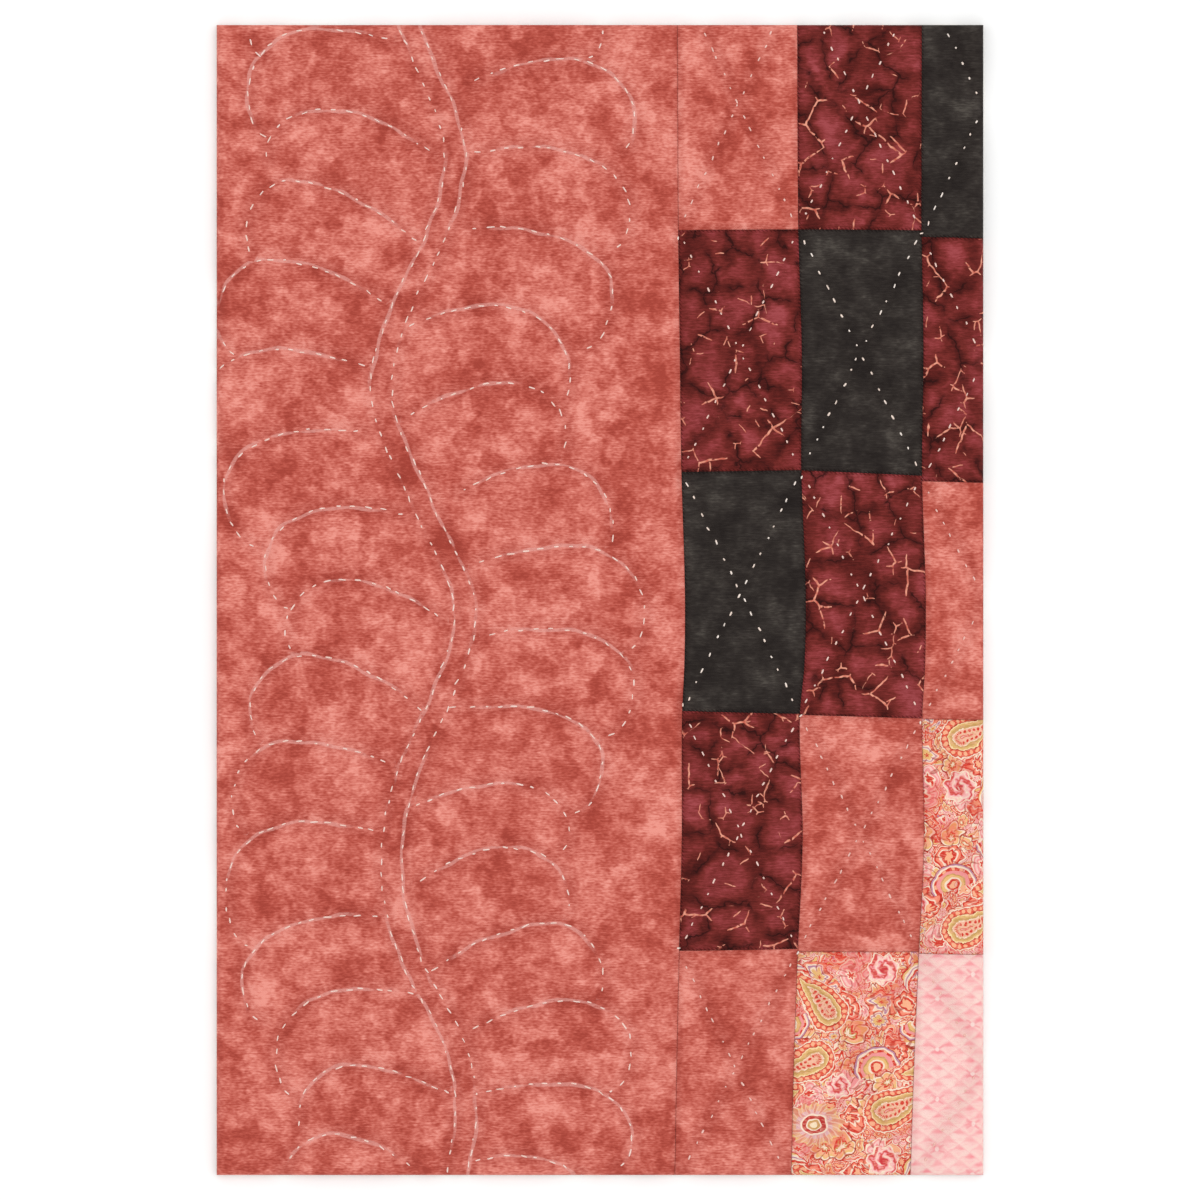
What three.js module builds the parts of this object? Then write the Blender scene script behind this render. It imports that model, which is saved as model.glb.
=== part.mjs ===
// A cut length of a hand-quilted sunshine and shadow quilt, laid flat with its pieced side up.
// A wide border panel on the left is quilted with a feathered vine. Three columns of oblong patches on the
// right are each quilted with a cross from corner to corner.
// Millimetres. The origin is the middle of the underside. +X runs to the right, +Y up the quilt and +Z out of
// its face.
import * as THREE from 'three';

// Driving dimensions
const WIDTH = 240; // across the cut length
const LENGTH = 360; // along the border
const LOFT = 4.4; // thickness where nothing holds the layers together
const STITCHED = 2.5; // thickness where a quilting stitch pulls them together
const SHOULDER = 3.2; // distance from the stitches at which the cloth has risen most of the way
const SHOULDER_ROUNDNESS = 1.4; // 1 is a sharp crease at the stitches, 2 a round trough
const SEAM_DIP = 0.9; // how much the cloth sinks along a patch seam
const SEAM_SHOULDER = 1.5; // half the width of that sunk strip
const EDGE_DIP = 1.2; // how much it sinks at the cut edges, where top and backing are turned in
const EDGE_SHOULDER = 1.4;
const GAP = 0.3; // between two pieces along the seam that joins them
const WAVE = { share: 0.16, across: 31, along: 47 }; // unevenness of the puff, as a share of it

// The long seams, from the top down: how far right of the middle each one runs at a height
const LONG_SEAMS = [
  { y: 180, border: 24.2, inner: 61.7, outer: 100.6 },
  { y: 115, border: 24.5, inner: 62.1, outer: 100.6 },
  { y: 78, border: 25.0, inner: 63.1, outer: 101.1 },
  { y: 40, border: 25.5, inner: 63.0, outer: 100.7 },
  { y: 0, border: 26.6, inner: 64.3, outer: 101.8 },
  { y: -20, border: 26.4, inner: 63.9, outer: 101.6 },
  { y: -36, border: 25.7, inner: 62.5, outer: 100.8 },
  { y: -75, border: 25.6, inner: 63.3, outer: 101.3 },
  { y: -109, border: 24.8, inner: 61.9, outer: 99.8 },
  { y: -145, border: 24.0, inner: 60.6, outer: 98.2 },
  { y: -180, border: 23.4, inner: 59.8, outer: 97.1 },
];

// The cross seams of each column of patches, from the top down: their heights at the left and the right end
const CROSS_SEAMS = [
  [[115.6, 115.9], [40.0, 40.6], [-34.7, -35.6], [-109.7, -109.1]],
  [[115.9, 115.6], [40.6, 38.9], [-35.9, -37.0], [-110.0, -110.0]],
  [[113.6, 113.1], [37.2, 36.7], [-37.2, -37.5], [-110.6, -110.9]],
];

// How far the patches that the cut crosses ran before it
const UNCUT = { right: 139.5, top: 195, bottom: -183 };

// The fabrics of each column of patches, from the top down
const PATCHES = [
  ['coral', 'burgundy', 'black', 'burgundy', 'coral'],
  ['burgundy', 'black', 'burgundy', 'coral', 'paisley'],
  ['black', 'burgundy', 'coral', 'paisley', 'pink'],
];
const FABRICS = {
  coral: '#ce6d60',
  burgundy: '#7b3330',
  black: '#37302d',
  paisley: '#ee9e88',
  pink: '#fdc4c1',
};
const COTTON_ROUGHNESS = 0.92;

// The stem of the vine: where its middle runs, from the top down
const STEM = [
  { y: 180.0, x: -60.0 },
  { y: 139.1, x: -45.3 },
  { y: 112.5, x: -51.9 },
  { y: 93.8, x: -61.2 },
  { y: 64.1, x: -68.4 },
  { y: 31.2, x: -56.2 },
  { y: -3.1, x: -42.2 },
  { y: -31.2, x: -50.0 },
  { y: -53.1, x: -60.0 },
  { y: -83.8, x: -65.3 },
  { y: -112.5, x: -59.1 },
  { y: -137.5, x: -45.9 },
  { y: -156.2, x: -41.9 },
  { y: -180.0, x: -44.7 },
];
const STEM_HALF_WIDTH = 3.3; // measured straight across, not square to the stem

// Each plume leaves the stem at height root, its first stitch lying start outside the stem's line. It climbs by
// rise to its highest point, crest outside the line, bulges out to reach, and hooks back in by tuck to a tip that
// hangs fall below the root.
const PLUME_COLUMNS = ['root', 'start', 'crest', 'rise', 'reach', 'fall', 'tuck'];
const LEFT_PLUMES = [
  [200.3, 1.2, 13.1, 0.9, 46.9, 30.9, 5.0],
  [175.0, 3.5, 27.6, 3.8, 48.8, 30.3, 6.6],
  [139.1, 3.3, 35.8, 14.4, 55.8, 1.9, 0.3],
  [110.9, 0.0, 40.9, 20.3, 55.0, 3.4, 2.5],
  [92.8, 2.4, 37.7, 13.8, 54.9, 16.9, 7.5],
  [72.8, 1.6, 30.4, 5.6, 53.2, 25.3, 6.9],
  [52.5, 5.1, 18.5, 0.9, 48.8, 35.9, 11.2],
  [26.6, 3.3, 22.1, 2.8, 47.1, 29.4, 8.1],
  [-6.2, 3.4, 34.9, 12.8, 52.7, 10.0, 2.8],
  [-35.0, 0.3, 36.3, 17.8, 54.7, 7.8, 3.4],
  [-51.2, 3.2, 34.5, 7.2, 52.6, 20.6, 3.4],
  [-72.5, 1.2, 25.5, 3.1, 49.3, 35.9, 8.1],
  [-99.1, 2.9, 12.9, 0.3, 45.4, 32.2, 5.9],
  [-123.1, 1.0, 18.2, 1.6, 44.5, 32.2, 5.9],
  [-155.3, 0.0, 32.8, 9.7, 49.0, 9.7, 0.3],
  [-177.5, 11.4, 35.1, 10.6, 52.3, 11.6, 1.9],
];
const RIGHT_PLUMES = [
  [182.8, 9.4, 39.1, 7.8, 57.8, 13.4, 6.2],
  [161.6, 7.9, 37.6, 7.8, 59.5, 20.9, 3.8],
  [139.1, 1.4, 20.2, 2.8, 51.4, 28.8, 5.0],
  [116.2, 5.8, 14.9, 0.3, 51.1, 37.2, 8.8],
  [85.3, 0.6, 27.2, 6.9, 51.6, 22.8, 2.2],
  [57.2, 3.5, 34.5, 10.9, 53.2, 10.9, 1.2],
  [33.4, 9.1, 38.2, 9.1, 57.8, 16.2, 0.9],
  [11.6, 4.6, 35.5, 5.3, 57.1, 27.8, 5.6],
  [-10.9, 3.9, 23.9, 1.9, 50.1, 31.9, 9.1],
  [-33.8, 0.4, 19.7, 0.6, 48.5, 33.1, 9.7],
  [-65.0, 0.3, 30.7, 7.8, 50.3, 13.1, 2.5],
  [-88.1, 4.8, 33.0, 10.9, 52.0, 9.4, 0.3],
  [-116.6, 0.4, 39.0, 15.6, 54.9, 6.9, 0.3],
  [-134.7, 2.6, 34.8, 9.4, 53.8, 19.4, 8.8],
  [-154.1, 1.6, 26.6, 3.1, 48.8, 23.4, 5.0],
  [-175.9, 0.4, 12.8, 2.2, 42.5, 28.8, 4.7],
];
const PLUME_CLIMB = 1.8; // how early the climb to the crest happens: 1 is a straight slope
const PLUME_BULGE = { loose: 0.8, perTuck: 0.032, least: 0.5 }; // share of the drop above the widest point
const CROSS_CLEAR = 2.4; // how short of the corners a patch's cross stops

// How finely the face is divided
const OUTLINE_STEP = 5;
const STITCH_STEP = 4.4; // along the quilting
const FLANK = 3.0; // how far beside the quilting the row of points lies that catches its slope
const FIELD_STEP = 8.5; // between points away from the quilting
const SPACING = { outline: 2.5, stitches: 2.1, flank: 2.7, field: 4.6 }; // the least room left round a point
const CURVE_STEP = 1.6; // between the points of a curve that distances are measured to
const FAR = 5000; // size of the triangle that encloses all points while they are joined up
const NUDGE = { by: 0.01, x: [7, 3], y: [5, -11] }; // shifts inner points so that no four lie on one circle

const HALF_WIDTH = WIDTH / 2;
const HALF_LENGTH = LENGTH / 2;

// A smooth value by height, through the rows of a table that runs from the top down
function smoothByHeight(rows, column) {
  const upward = [...rows].reverse();
  const heights = upward.map((row) => row.y);
  const values = upward.map((row) => row[column]);
  const curve = new THREE.CubicInterpolant(heights, values, 1);
  return (y) => curve.evaluate(THREE.MathUtils.clamp(y, heights[0], heights.at(-1)))[0];
}

const seamX = {
  border: smoothByHeight(LONG_SEAMS, 'border'),
  inner: smoothByHeight(LONG_SEAMS, 'inner'),
  outer: smoothByHeight(LONG_SEAMS, 'outer'),
};
const stemX = smoothByHeight(STEM, 'x');

// The points of a run from one value to another, at most step apart, without its last point
function run(from, to, step, pointAt) {
  const count = Math.max(1, Math.ceil(Math.abs(to - from) / step));
  return Array.from({ length: count }, (_, i) => pointAt(from + ((to - from) * i) / count));
}

function straight(a, b, step) {
  return run(0, a.distanceTo(b), step, (s) => a.clone().lerp(b, s / a.distanceTo(b)));
}

// A piece's outline, anticlockwise from its lower left corner: straight ends and two long sides x(y)
function outlineOf({ left, right, bottom, top }) {
  const corner = (x, y) => new THREE.Vector2(x(y), y);
  return [
    ...straight(corner(left, bottom[0]), corner(right, bottom[1]), OUTLINE_STEP),
    ...run(bottom[1], top[1], OUTLINE_STEP, (y) => corner(right, y)),
    ...straight(corner(right, top[1]), corner(left, top[0]), OUTLINE_STEP),
    ...run(top[0], bottom[0], OUTLINE_STEP, (y) => corner(left, y)),
  ];
}

// The four sides of every piece, half a gap inside its seams and flush with the cut
function piecePlans() {
  const half = GAP / 2;
  const ends = (pair, shift) => pair.map((y) => y + shift);
  const plans = [
    {
      name: 'border',
      fabric: 'coral',
      left: () => -HALF_WIDTH,
      right: (y) => seamX.border(y) - half,
      bottom: [-HALF_LENGTH, -HALF_LENGTH],
      top: [HALF_LENGTH, HALF_LENGTH],
    },
  ];
  const sides = [seamX.border, seamX.inner, seamX.outer];
  PATCHES.forEach((column, c) => {
    const right = sides[c + 1];
    column.forEach((fabric, r) => {
      const above = CROSS_SEAMS[c][r - 1];
      const below = CROSS_SEAMS[c][r];
      plans.push({
        name: `patch_r${r + 1}_c${c + 1}`,
        fabric,
        left: (y) => sides[c](y) + half,
        right: right ? (y) => right(y) - half : () => HALF_WIDTH,
        bottom: below ? ends(below, half) : [-HALF_LENGTH, -HALF_LENGTH],
        top: above ? ends(above, -half) : [HALF_LENGTH, HALF_LENGTH],
        uncut: {
          left: sides[c],
          right: right ?? (() => UNCUT.right),
          bottom: below ?? [UNCUT.bottom, UNCUT.bottom],
          top: above ?? [UNCUT.top, UNCUT.top],
        },
      });
    });
  });
  return plans;
}

// A cross from corner to corner of the whole patch
function crossOf({ left, right, bottom, top }) {
  const corners = [
    [new THREE.Vector2(left(bottom[0]), bottom[0]), new THREE.Vector2(right(top[1]), top[1])],
    [new THREE.Vector2(left(top[0]), top[0]), new THREE.Vector2(right(bottom[1]), bottom[1])],
  ];
  return corners.map(([a, b]) => {
    const inset = b.clone().sub(a).setLength(CROSS_CLEAR);
    const start = a.clone().add(inset);
    const end = b.clone().sub(inset);
    return [...straight(start, end, CURVE_STEP), end];
  });
}

// One plume, on side -1 or 1 of the stem: a climb that eases off to the crest, then two quarters of an ellipse,
// out to the widest point and back in to the tip
function plume(side, row) {
  const p = Object.fromEntries(PLUME_COLUMNS.map((name, i) => [name, row[i]]));
  const line = stemX(p.root) + side * STEM_HALF_WIDTH;
  const crestY = p.root + p.rise;
  const tipY = p.root - p.fall;
  const bulge = Math.max(PLUME_BULGE.least, PLUME_BULGE.loose - PLUME_BULGE.perTuck * p.tuck);
  const wideY = THREE.MathUtils.lerp(crestY, tipY, bulge);
  const at = (out, y) => new THREE.Vector2(line + side * out, y);
  const quarter = Math.PI / 2;
  const climb = run(0, p.crest - p.start, CURVE_STEP, (s) => {
    const share = s / (p.crest - p.start);
    return at(p.start + s, p.root + p.rise * (1 - (1 - share) ** PLUME_CLIMB));
  });
  const shoulder = run(0, quarter, CURVE_STEP / (p.reach - p.crest), (t) =>
    at(p.crest + (p.reach - p.crest) * Math.sin(t), wideY + (crestY - wideY) * Math.cos(t)),
  );
  const hook = run(0, quarter, CURVE_STEP / (wideY - tipY + p.tuck), (t) =>
    at(p.reach - p.tuck * (1 - Math.cos(t)), wideY - (wideY - tipY) * Math.sin(t)),
  );
  return [...climb, ...shoulder, ...hook, at(p.reach - p.tuck, tipY)];
}

function vine() {
  const stem = [-1, 1].map((side) => {
    const at = (y) => new THREE.Vector2(stemX(y) + side * STEM_HALF_WIDTH, y);
    return [...run(-HALF_LENGTH, HALF_LENGTH, CURVE_STEP, at), at(HALF_LENGTH)];
  });
  return [
    ...stem,
    ...LEFT_PLUMES.map((row) => plume(-1, row)),
    ...RIGHT_PLUMES.map((row) => plume(1, row)),
  ];
}

function seamLines() {
  const long = Object.values(seamX).map((x) => {
    const at = (y) => new THREE.Vector2(x(y), y);
    return [...run(-HALF_LENGTH, HALF_LENGTH, OUTLINE_STEP, at), at(HALF_LENGTH)];
  });
  const sides = [seamX.border, seamX.inner, seamX.outer, () => HALF_WIDTH];
  const cross = CROSS_SEAMS.flatMap((column, c) =>
    column.map(([l, r]) => [new THREE.Vector2(sides[c](l), l), new THREE.Vector2(sides[c + 1](r), r)]),
  );
  return [...long, ...cross];
}

// The straight stretches of a set of lines, as pairs of points
function stretchesOf(lines) {
  return lines.flatMap((line) => line.slice(1).map((point, i) => [line[i], point]));
}

function distanceTo(stretches, x, y) {
  let least = Infinity;
  for (const [a, b] of stretches) {
    const dx = b.x - a.x;
    const dy = b.y - a.y;
    const along = ((x - a.x) * dx + (y - a.y) * dy) / (dx * dx + dy * dy || 1);
    const t = Math.min(1, Math.max(0, along));
    least = Math.min(least, Math.hypot(x - a.x - t * dx, y - a.y - t * dy));
  }
  return least;
}

// Height of the face: full loft, drawn down to the stitches, sunk along the seams and down at the cut edges
function faceHeight(quilting, seams, x, y) {
  const fromStitches = distanceTo(quilting, x, y) / SHOULDER;
  const puff = 1 - Math.exp(-(fromStitches ** SHOULDER_ROUNDNESS));
  const wave = WAVE.share * Math.sin(x / WAVE.across) * Math.cos(y / WAVE.along);
  const seam = SEAM_DIP * Math.exp(-((distanceTo(seams, x, y) / SEAM_SHOULDER) ** 2));
  const fromEdge = Math.min(HALF_WIDTH - Math.abs(x), HALF_LENGTH - Math.abs(y));
  const edge = EDGE_DIP * Math.exp(-((fromEdge / EDGE_SHOULDER) ** 2));
  return STITCHED + (LOFT - STITCHED) * puff * (1 + wave) - Math.max(seam, edge);
}

function holds(outline, p) {
  let inside = false;
  outline.forEach((a, i) => {
    const b = outline[(i + 1) % outline.length];
    const crosses = a.y > p.y !== b.y > p.y;
    if (crosses && p.x < a.x + ((b.x - a.x) * (p.y - a.y)) / (b.y - a.y)) inside = !inside;
  });
  return inside;
}

// Points for a piece's face: its outline, the quilting, a row on each flank of it, and an even field between
function facePoints(outline, lines) {
  const points = [...outline];
  const edges = stretchesOf([[...outline, outline[0]]]);
  const add = (x, y, room) => {
    const shift = ([a, b]) => NUDGE.by * Math.sin(a * x + b * y);
    const nudged = new THREE.Vector2(x + shift(NUDGE.x), y + shift(NUDGE.y));
    const clear = points.every((other) => other.distanceTo(nudged) >= room);
    if (clear && holds(outline, nudged) && distanceTo(edges, nudged.x, nudged.y) >= SPACING.outline)
      points.push(nudged);
  };
  const stations = lines.flatMap((line) => {
    const steps = Math.max(1, Math.round(STITCH_STEP / line[0].distanceTo(line[1])));
    return line.flatMap((point, i) => {
      const last = i === line.length - 1;
      if (i % steps && !last) return [];
      const along = last ? point.clone().sub(line[i - 1]) : line[i + 1].clone().sub(point);
      return [{ point, across: new THREE.Vector2(-along.y, along.x).setLength(FLANK) }];
    });
  });
  stations.forEach(({ point }) => add(point.x, point.y, SPACING.stitches));
  for (const side of [-1, 1]) {
    for (const { point, across } of stations) {
      const beside = point.clone().addScaledVector(across, side);
      add(beside.x, beside.y, SPACING.flank);
    }
  }
  const box = new THREE.Box2().setFromPoints(outline);
  let row = 0;
  for (let y = box.min.y; y < box.max.y; y += FIELD_STEP * Math.sin(Math.PI / 3)) {
    const shift = row % 2 ? FIELD_STEP / 2 : 0;
    for (let x = box.min.x + shift; x < box.max.x; x += FIELD_STEP) add(x, y, SPACING.field);
    row += 1;
  }
  return points;
}

// Whether d lies inside the circle through the anticlockwise triangle a, b, c
function circleHolds(a, b, c, d) {
  const [ax, ay, bx, by, cx, cy] = [a.x - d.x, a.y - d.y, b.x - d.x, b.y - d.y, c.x - d.x, c.y - d.y];
  const [aa, bb, cc] = [ax * ax + ay * ay, bx * bx + by * by, cx * cx + cy * cy];
  return ax * (by * cc - bb * cy) - ay * (bx * cc - bb * cx) + aa * (bx * cy - by * cx) > 0;
}

// Joins scattered points with Delaunay triangles. Each point is added in turn: the triangles whose circle holds
// it are taken out, and the hole that they leave is fanned to it.
function triangulate(points) {
  const count = points.length;
  const corners = [[-FAR, -FAR], [FAR, -FAR], [0, FAR]].map(([x, y]) => new THREE.Vector2(x, y));
  const all = [...points, ...corners];
  let triangles = [[count, count + 1, count + 2]];
  points.forEach((point, i) => {
    const rim = new Map();
    triangles = triangles.filter(([a, b, c]) => {
      if (!circleHolds(all[a], all[b], all[c], point)) return true;
      for (const [from, to] of [[a, b], [b, c], [c, a]]) {
        if (!rim.delete(`${to},${from}`)) rim.set(`${from},${to}`, [from, to]);
      }
      return false;
    });
    for (const [from, to] of rim.values()) triangles.push([from, to, i]);
  });
  return triangles.filter((triangle) => triangle.every((v) => v < count));
}

// A closed solid under a piece's quilted face, with upright sides and a flat underside
function quiltedSolid(outline, lines, height) {
  const points = facePoints(outline, lines);
  const rim = outline.length;
  const middle = ([a, b, c]) => points[a].clone().add(points[b]).add(points[c]).divideScalar(3);
  const face = triangulate(points).filter((corners) => holds(outline, middle(corners)));
  const under = (i) => points.length + i;
  const sides = outline.flatMap((_, i) => {
    const next = (i + 1) % rim;
    return [[under(i), under(next), next], [under(i), next, i]];
  });
  const flat = THREE.ShapeUtils.triangulateShape(outline, []);
  const underside = flat.map(([a, b, c]) => [under(a), under(c), under(b)]);
  const vertices = [
    ...points.flatMap((p) => [p.x, p.y, height(p.x, p.y)]),
    ...outline.flatMap((p) => [p.x, p.y, 0]),
  ];
  const geometry = new THREE.BufferGeometry();
  geometry.setAttribute('position', new THREE.Float32BufferAttribute(vertices, 3));
  geometry.setIndex([...face, ...sides, ...underside].flat());
  geometry.computeVertexNormals();
  return geometry;
}

const quilt = new THREE.Group();
const plans = piecePlans().map((plan) => ({ ...plan, lines: plan.uncut ? crossOf(plan.uncut) : vine() }));
const quilting = stretchesOf(plans.flatMap((plan) => plan.lines));
const seams = stretchesOf(seamLines());
for (const plan of plans) {
  const height = (x, y) => faceHeight(quilting, seams, x, y);
  const cotton = new THREE.MeshStandardMaterial({ color: FABRICS[plan.fabric], roughness: COTTON_ROUGHNESS });
  const mesh = new THREE.Mesh(quiltedSolid(outlineOf(plan), plan.lines, height), cotton);
  mesh.name = plan.name;
  quilt.add(mesh);
}

export default quilt;
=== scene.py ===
# %% [markdown]
# # A cut length of a sunshine and shadow quilt
# The real thing is a sandwich: a pieced cotton top, a thin cotton wadding and a plain cotton backing, held together
# by hundreds of small hand stitches. This lesson builds the top, the backing, the thread and the marks of making as
# separate pieces, over a frame of plain solids that gives their places. A flat picture on one box would be quicker,
# but then nothing would puff, dip or cast a shadow, so each layer gets its own surface.

# %% Load the frame
import math

import bpy
import numpy as np
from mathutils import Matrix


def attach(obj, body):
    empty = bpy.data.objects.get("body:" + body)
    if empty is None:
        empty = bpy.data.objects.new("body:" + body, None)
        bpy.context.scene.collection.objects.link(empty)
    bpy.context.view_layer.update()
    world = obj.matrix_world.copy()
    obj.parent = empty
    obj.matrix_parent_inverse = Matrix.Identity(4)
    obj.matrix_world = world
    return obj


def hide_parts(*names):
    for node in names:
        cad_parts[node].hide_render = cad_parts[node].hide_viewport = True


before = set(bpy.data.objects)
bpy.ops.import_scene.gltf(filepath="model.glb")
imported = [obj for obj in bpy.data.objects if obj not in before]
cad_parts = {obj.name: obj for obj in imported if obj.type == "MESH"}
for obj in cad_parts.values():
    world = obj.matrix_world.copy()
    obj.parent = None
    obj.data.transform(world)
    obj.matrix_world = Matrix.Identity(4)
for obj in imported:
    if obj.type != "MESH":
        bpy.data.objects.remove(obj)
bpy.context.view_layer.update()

# %% [markdown]
# ## Sizes
# A quilt maker measures in small units, so every table here is in millimetres and is turned into metres only when
# a mesh is made. The sizes of the solids in the frame are repeated, because the cloth has to lie exactly on them.

# %% Sizes of the quilt
MM = 0.001
HALF_WIDTH = 120.0
HALF_LENGTH = 180.0
LOFT = 4.4
STITCHED = 2.5
SHOULDER = 3.2
SHOULDER_ROUNDNESS = 1.4
SEAM_DIP = 0.9
SEAM_SHOULDER = 1.5
EDGE_DIP = 1.2
EDGE_SHOULDER = 1.4
WAVE_SHARE = 0.16
WAVE_ACROSS = 31.0
WAVE_ALONG = 47.0

# The long seams from the top down: height, then how far right of the middle the three seams run there
LONG_SEAMS = np.array([
    [180, 24.2, 61.7, 100.6],
    [115, 24.5, 62.1, 100.6],
    [78, 25.0, 63.1, 101.1],
    [40, 25.5, 63.0, 100.7],
    [0, 26.6, 64.3, 101.8],
    [-20, 26.4, 63.9, 101.6],
    [-36, 25.7, 62.5, 100.8],
    [-75, 25.6, 63.3, 101.3],
    [-109, 24.8, 61.9, 99.8],
    [-145, 24.0, 60.6, 98.2],
    [-180, 23.4, 59.8, 97.1],
])

# The cross seams of each column from the top down: heights at the left and the right end
CROSS_SEAMS = [
    [(115.6, 115.9), (40.0, 40.6), (-34.7, -35.6), (-109.7, -109.1)],
    [(115.9, 115.6), (40.6, 38.9), (-35.9, -37.0), (-110.0, -110.0)],
    [(113.6, 113.1), (37.2, 36.7), (-37.2, -37.5), (-110.6, -110.9)],
]

# How far the patches that the cut crosses ran before it
UNCUT_RIGHT = 139.5
UNCUT_TOP = 195.0
UNCUT_BOTTOM = -183.0

# %% [markdown]
# ## Curves for the seams and the stem
# Hand-sewn seams wander a little. A cubic curve through a short table of measured places gives that wander with no
# kinks. A polyline would show its corners in the long seams, so each row gets a slope from its two neighbours.


# %% Curves through a table
def smooth_through(heights, values):
    """A cubic through the rows of a table. At each row the slope is the mean of the slopes to its two neighbours."""
    order = np.argsort(heights)
    at = np.asarray(heights, float)[order]
    value = np.asarray(values, float)[order]
    secant = np.diff(value) / np.diff(at)
    slope = np.concatenate([secant[:1], (secant[:-1] + secant[1:]) / 2, secant[-1:]])

    def curve(height):
        inside = np.clip(height, at[0], at[-1])
        row = np.clip(np.searchsorted(at, inside, side="right") - 1, 0, len(at) - 2)
        gap = at[row + 1] - at[row]
        t = (inside - at[row]) / gap
        leave = (2 * t**3 - 3 * t**2 + 1) * value[row] + (t**3 - 2 * t**2 + t) * gap * slope[row]
        reach = (3 * t**2 - 2 * t**3) * value[row + 1] + (t**3 - t**2) * gap * slope[row + 1]
        return leave + reach

    return curve


seam_x = [smooth_through(LONG_SEAMS[:, 0], LONG_SEAMS[:, column]) for column in (1, 2, 3)]
cut_left = smooth_through([-HALF_LENGTH, HALF_LENGTH], [-HALF_WIDTH, -HALF_WIDTH])
cut_right = smooth_through([-HALF_LENGTH, HALF_LENGTH], [HALF_WIDTH, HALF_WIDTH])
uncut_right = smooth_through([-HALF_LENGTH, HALF_LENGTH], [UNCUT_RIGHT, UNCUT_RIGHT])
print("border seam at the middle:", float(seam_x[0](0.0)), "mm")

# %% [markdown]
# ## The feathered vine
# The border is quilted with a running feather: a waving double stem with plumes on both sides. Each plume climbs off
# the stem, rounds over and hooks back. One formula with seven numbers draws them all, so every plume keeps its own
# hand-drawn size. Drawing 32 curves point by point would hide what they have in common.

# %% The stem and its plumes
STEM = np.array([
    [180.0, -60.0],
    [139.1, -45.3],
    [112.5, -51.9],
    [93.8, -61.2],
    [64.1, -68.4],
    [31.2, -56.2],
    [-3.1, -42.2],
    [-31.2, -50.0],
    [-53.1, -60.0],
    [-83.8, -65.3],
    [-112.5, -59.1],
    [-137.5, -45.9],
    [-156.2, -41.9],
    [-180.0, -44.7],
])
STEM_HALF_WIDTH = 3.3

# Each plume: height of its root, where it starts outside the stem's line, crest, rise, reach, fall and tuck
LEFT_PLUMES = [
    (200.3, 1.2, 13.1, 0.9, 46.9, 30.9, 5.0),
    (175.0, 3.5, 27.6, 3.8, 48.8, 30.3, 6.6),
    (139.1, 3.3, 35.8, 14.4, 55.8, 1.9, 0.3),
    (110.9, 0.0, 40.9, 20.3, 55.0, 3.4, 2.5),
    (92.8, 2.4, 37.7, 13.8, 54.9, 16.9, 7.5),
    (72.8, 1.6, 30.4, 5.6, 53.2, 25.3, 6.9),
    (52.5, 5.1, 18.5, 0.9, 48.8, 35.9, 11.2),
    (26.6, 3.3, 22.1, 2.8, 47.1, 29.4, 8.1),
    (-6.2, 3.4, 34.9, 12.8, 52.7, 10.0, 2.8),
    (-35.0, 0.3, 36.3, 17.8, 54.7, 7.8, 3.4),
    (-51.2, 3.2, 34.5, 7.2, 52.6, 20.6, 3.4),
    (-72.5, 1.2, 25.5, 3.1, 49.3, 35.9, 8.1),
    (-99.1, 2.9, 12.9, 0.3, 45.4, 32.2, 5.9),
    (-123.1, 1.0, 18.2, 1.6, 44.5, 32.2, 5.9),
    (-155.3, 0.0, 32.8, 9.7, 49.0, 9.7, 0.3),
    (-177.5, 11.4, 35.1, 10.6, 52.3, 11.6, 1.9),
]
RIGHT_PLUMES = [
    (182.8, 9.4, 39.1, 7.8, 57.8, 13.4, 6.2),
    (161.6, 7.9, 37.6, 7.8, 59.5, 20.9, 3.8),
    (139.1, 1.4, 20.2, 2.8, 51.4, 28.8, 5.0),
    (116.2, 5.8, 14.9, 0.3, 51.1, 37.2, 8.8),
    (85.3, 0.6, 27.2, 6.9, 51.6, 22.8, 2.2),
    (57.2, 3.5, 34.5, 10.9, 53.2, 10.9, 1.2),
    (33.4, 9.1, 38.2, 9.1, 57.8, 16.2, 0.9),
    (11.6, 4.6, 35.5, 5.3, 57.1, 27.8, 5.6),
    (-10.9, 3.9, 23.9, 1.9, 50.1, 31.9, 9.1),
    (-33.8, 0.4, 19.7, 0.6, 48.5, 33.1, 9.7),
    (-65.0, 0.3, 30.7, 7.8, 50.3, 13.1, 2.5),
    (-88.1, 4.8, 33.0, 10.9, 52.0, 9.4, 0.3),
    (-116.6, 0.4, 39.0, 15.6, 54.9, 6.9, 0.3),
    (-134.7, 2.6, 34.8, 9.4, 53.8, 19.4, 8.8),
    (-154.1, 1.6, 26.6, 3.1, 48.8, 23.4, 5.0),
    (-175.9, 0.4, 12.8, 2.2, 42.5, 28.8, 4.7),
]
PLUME_CLIMB = 1.8
PLUME_POINTS = 22
STEM_POINTS = 420
CROSS_CLEAR = 2.4
CROSS_POINTS = 40

stem_x = smooth_through(STEM[:, 0], STEM[:, 1])


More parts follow.
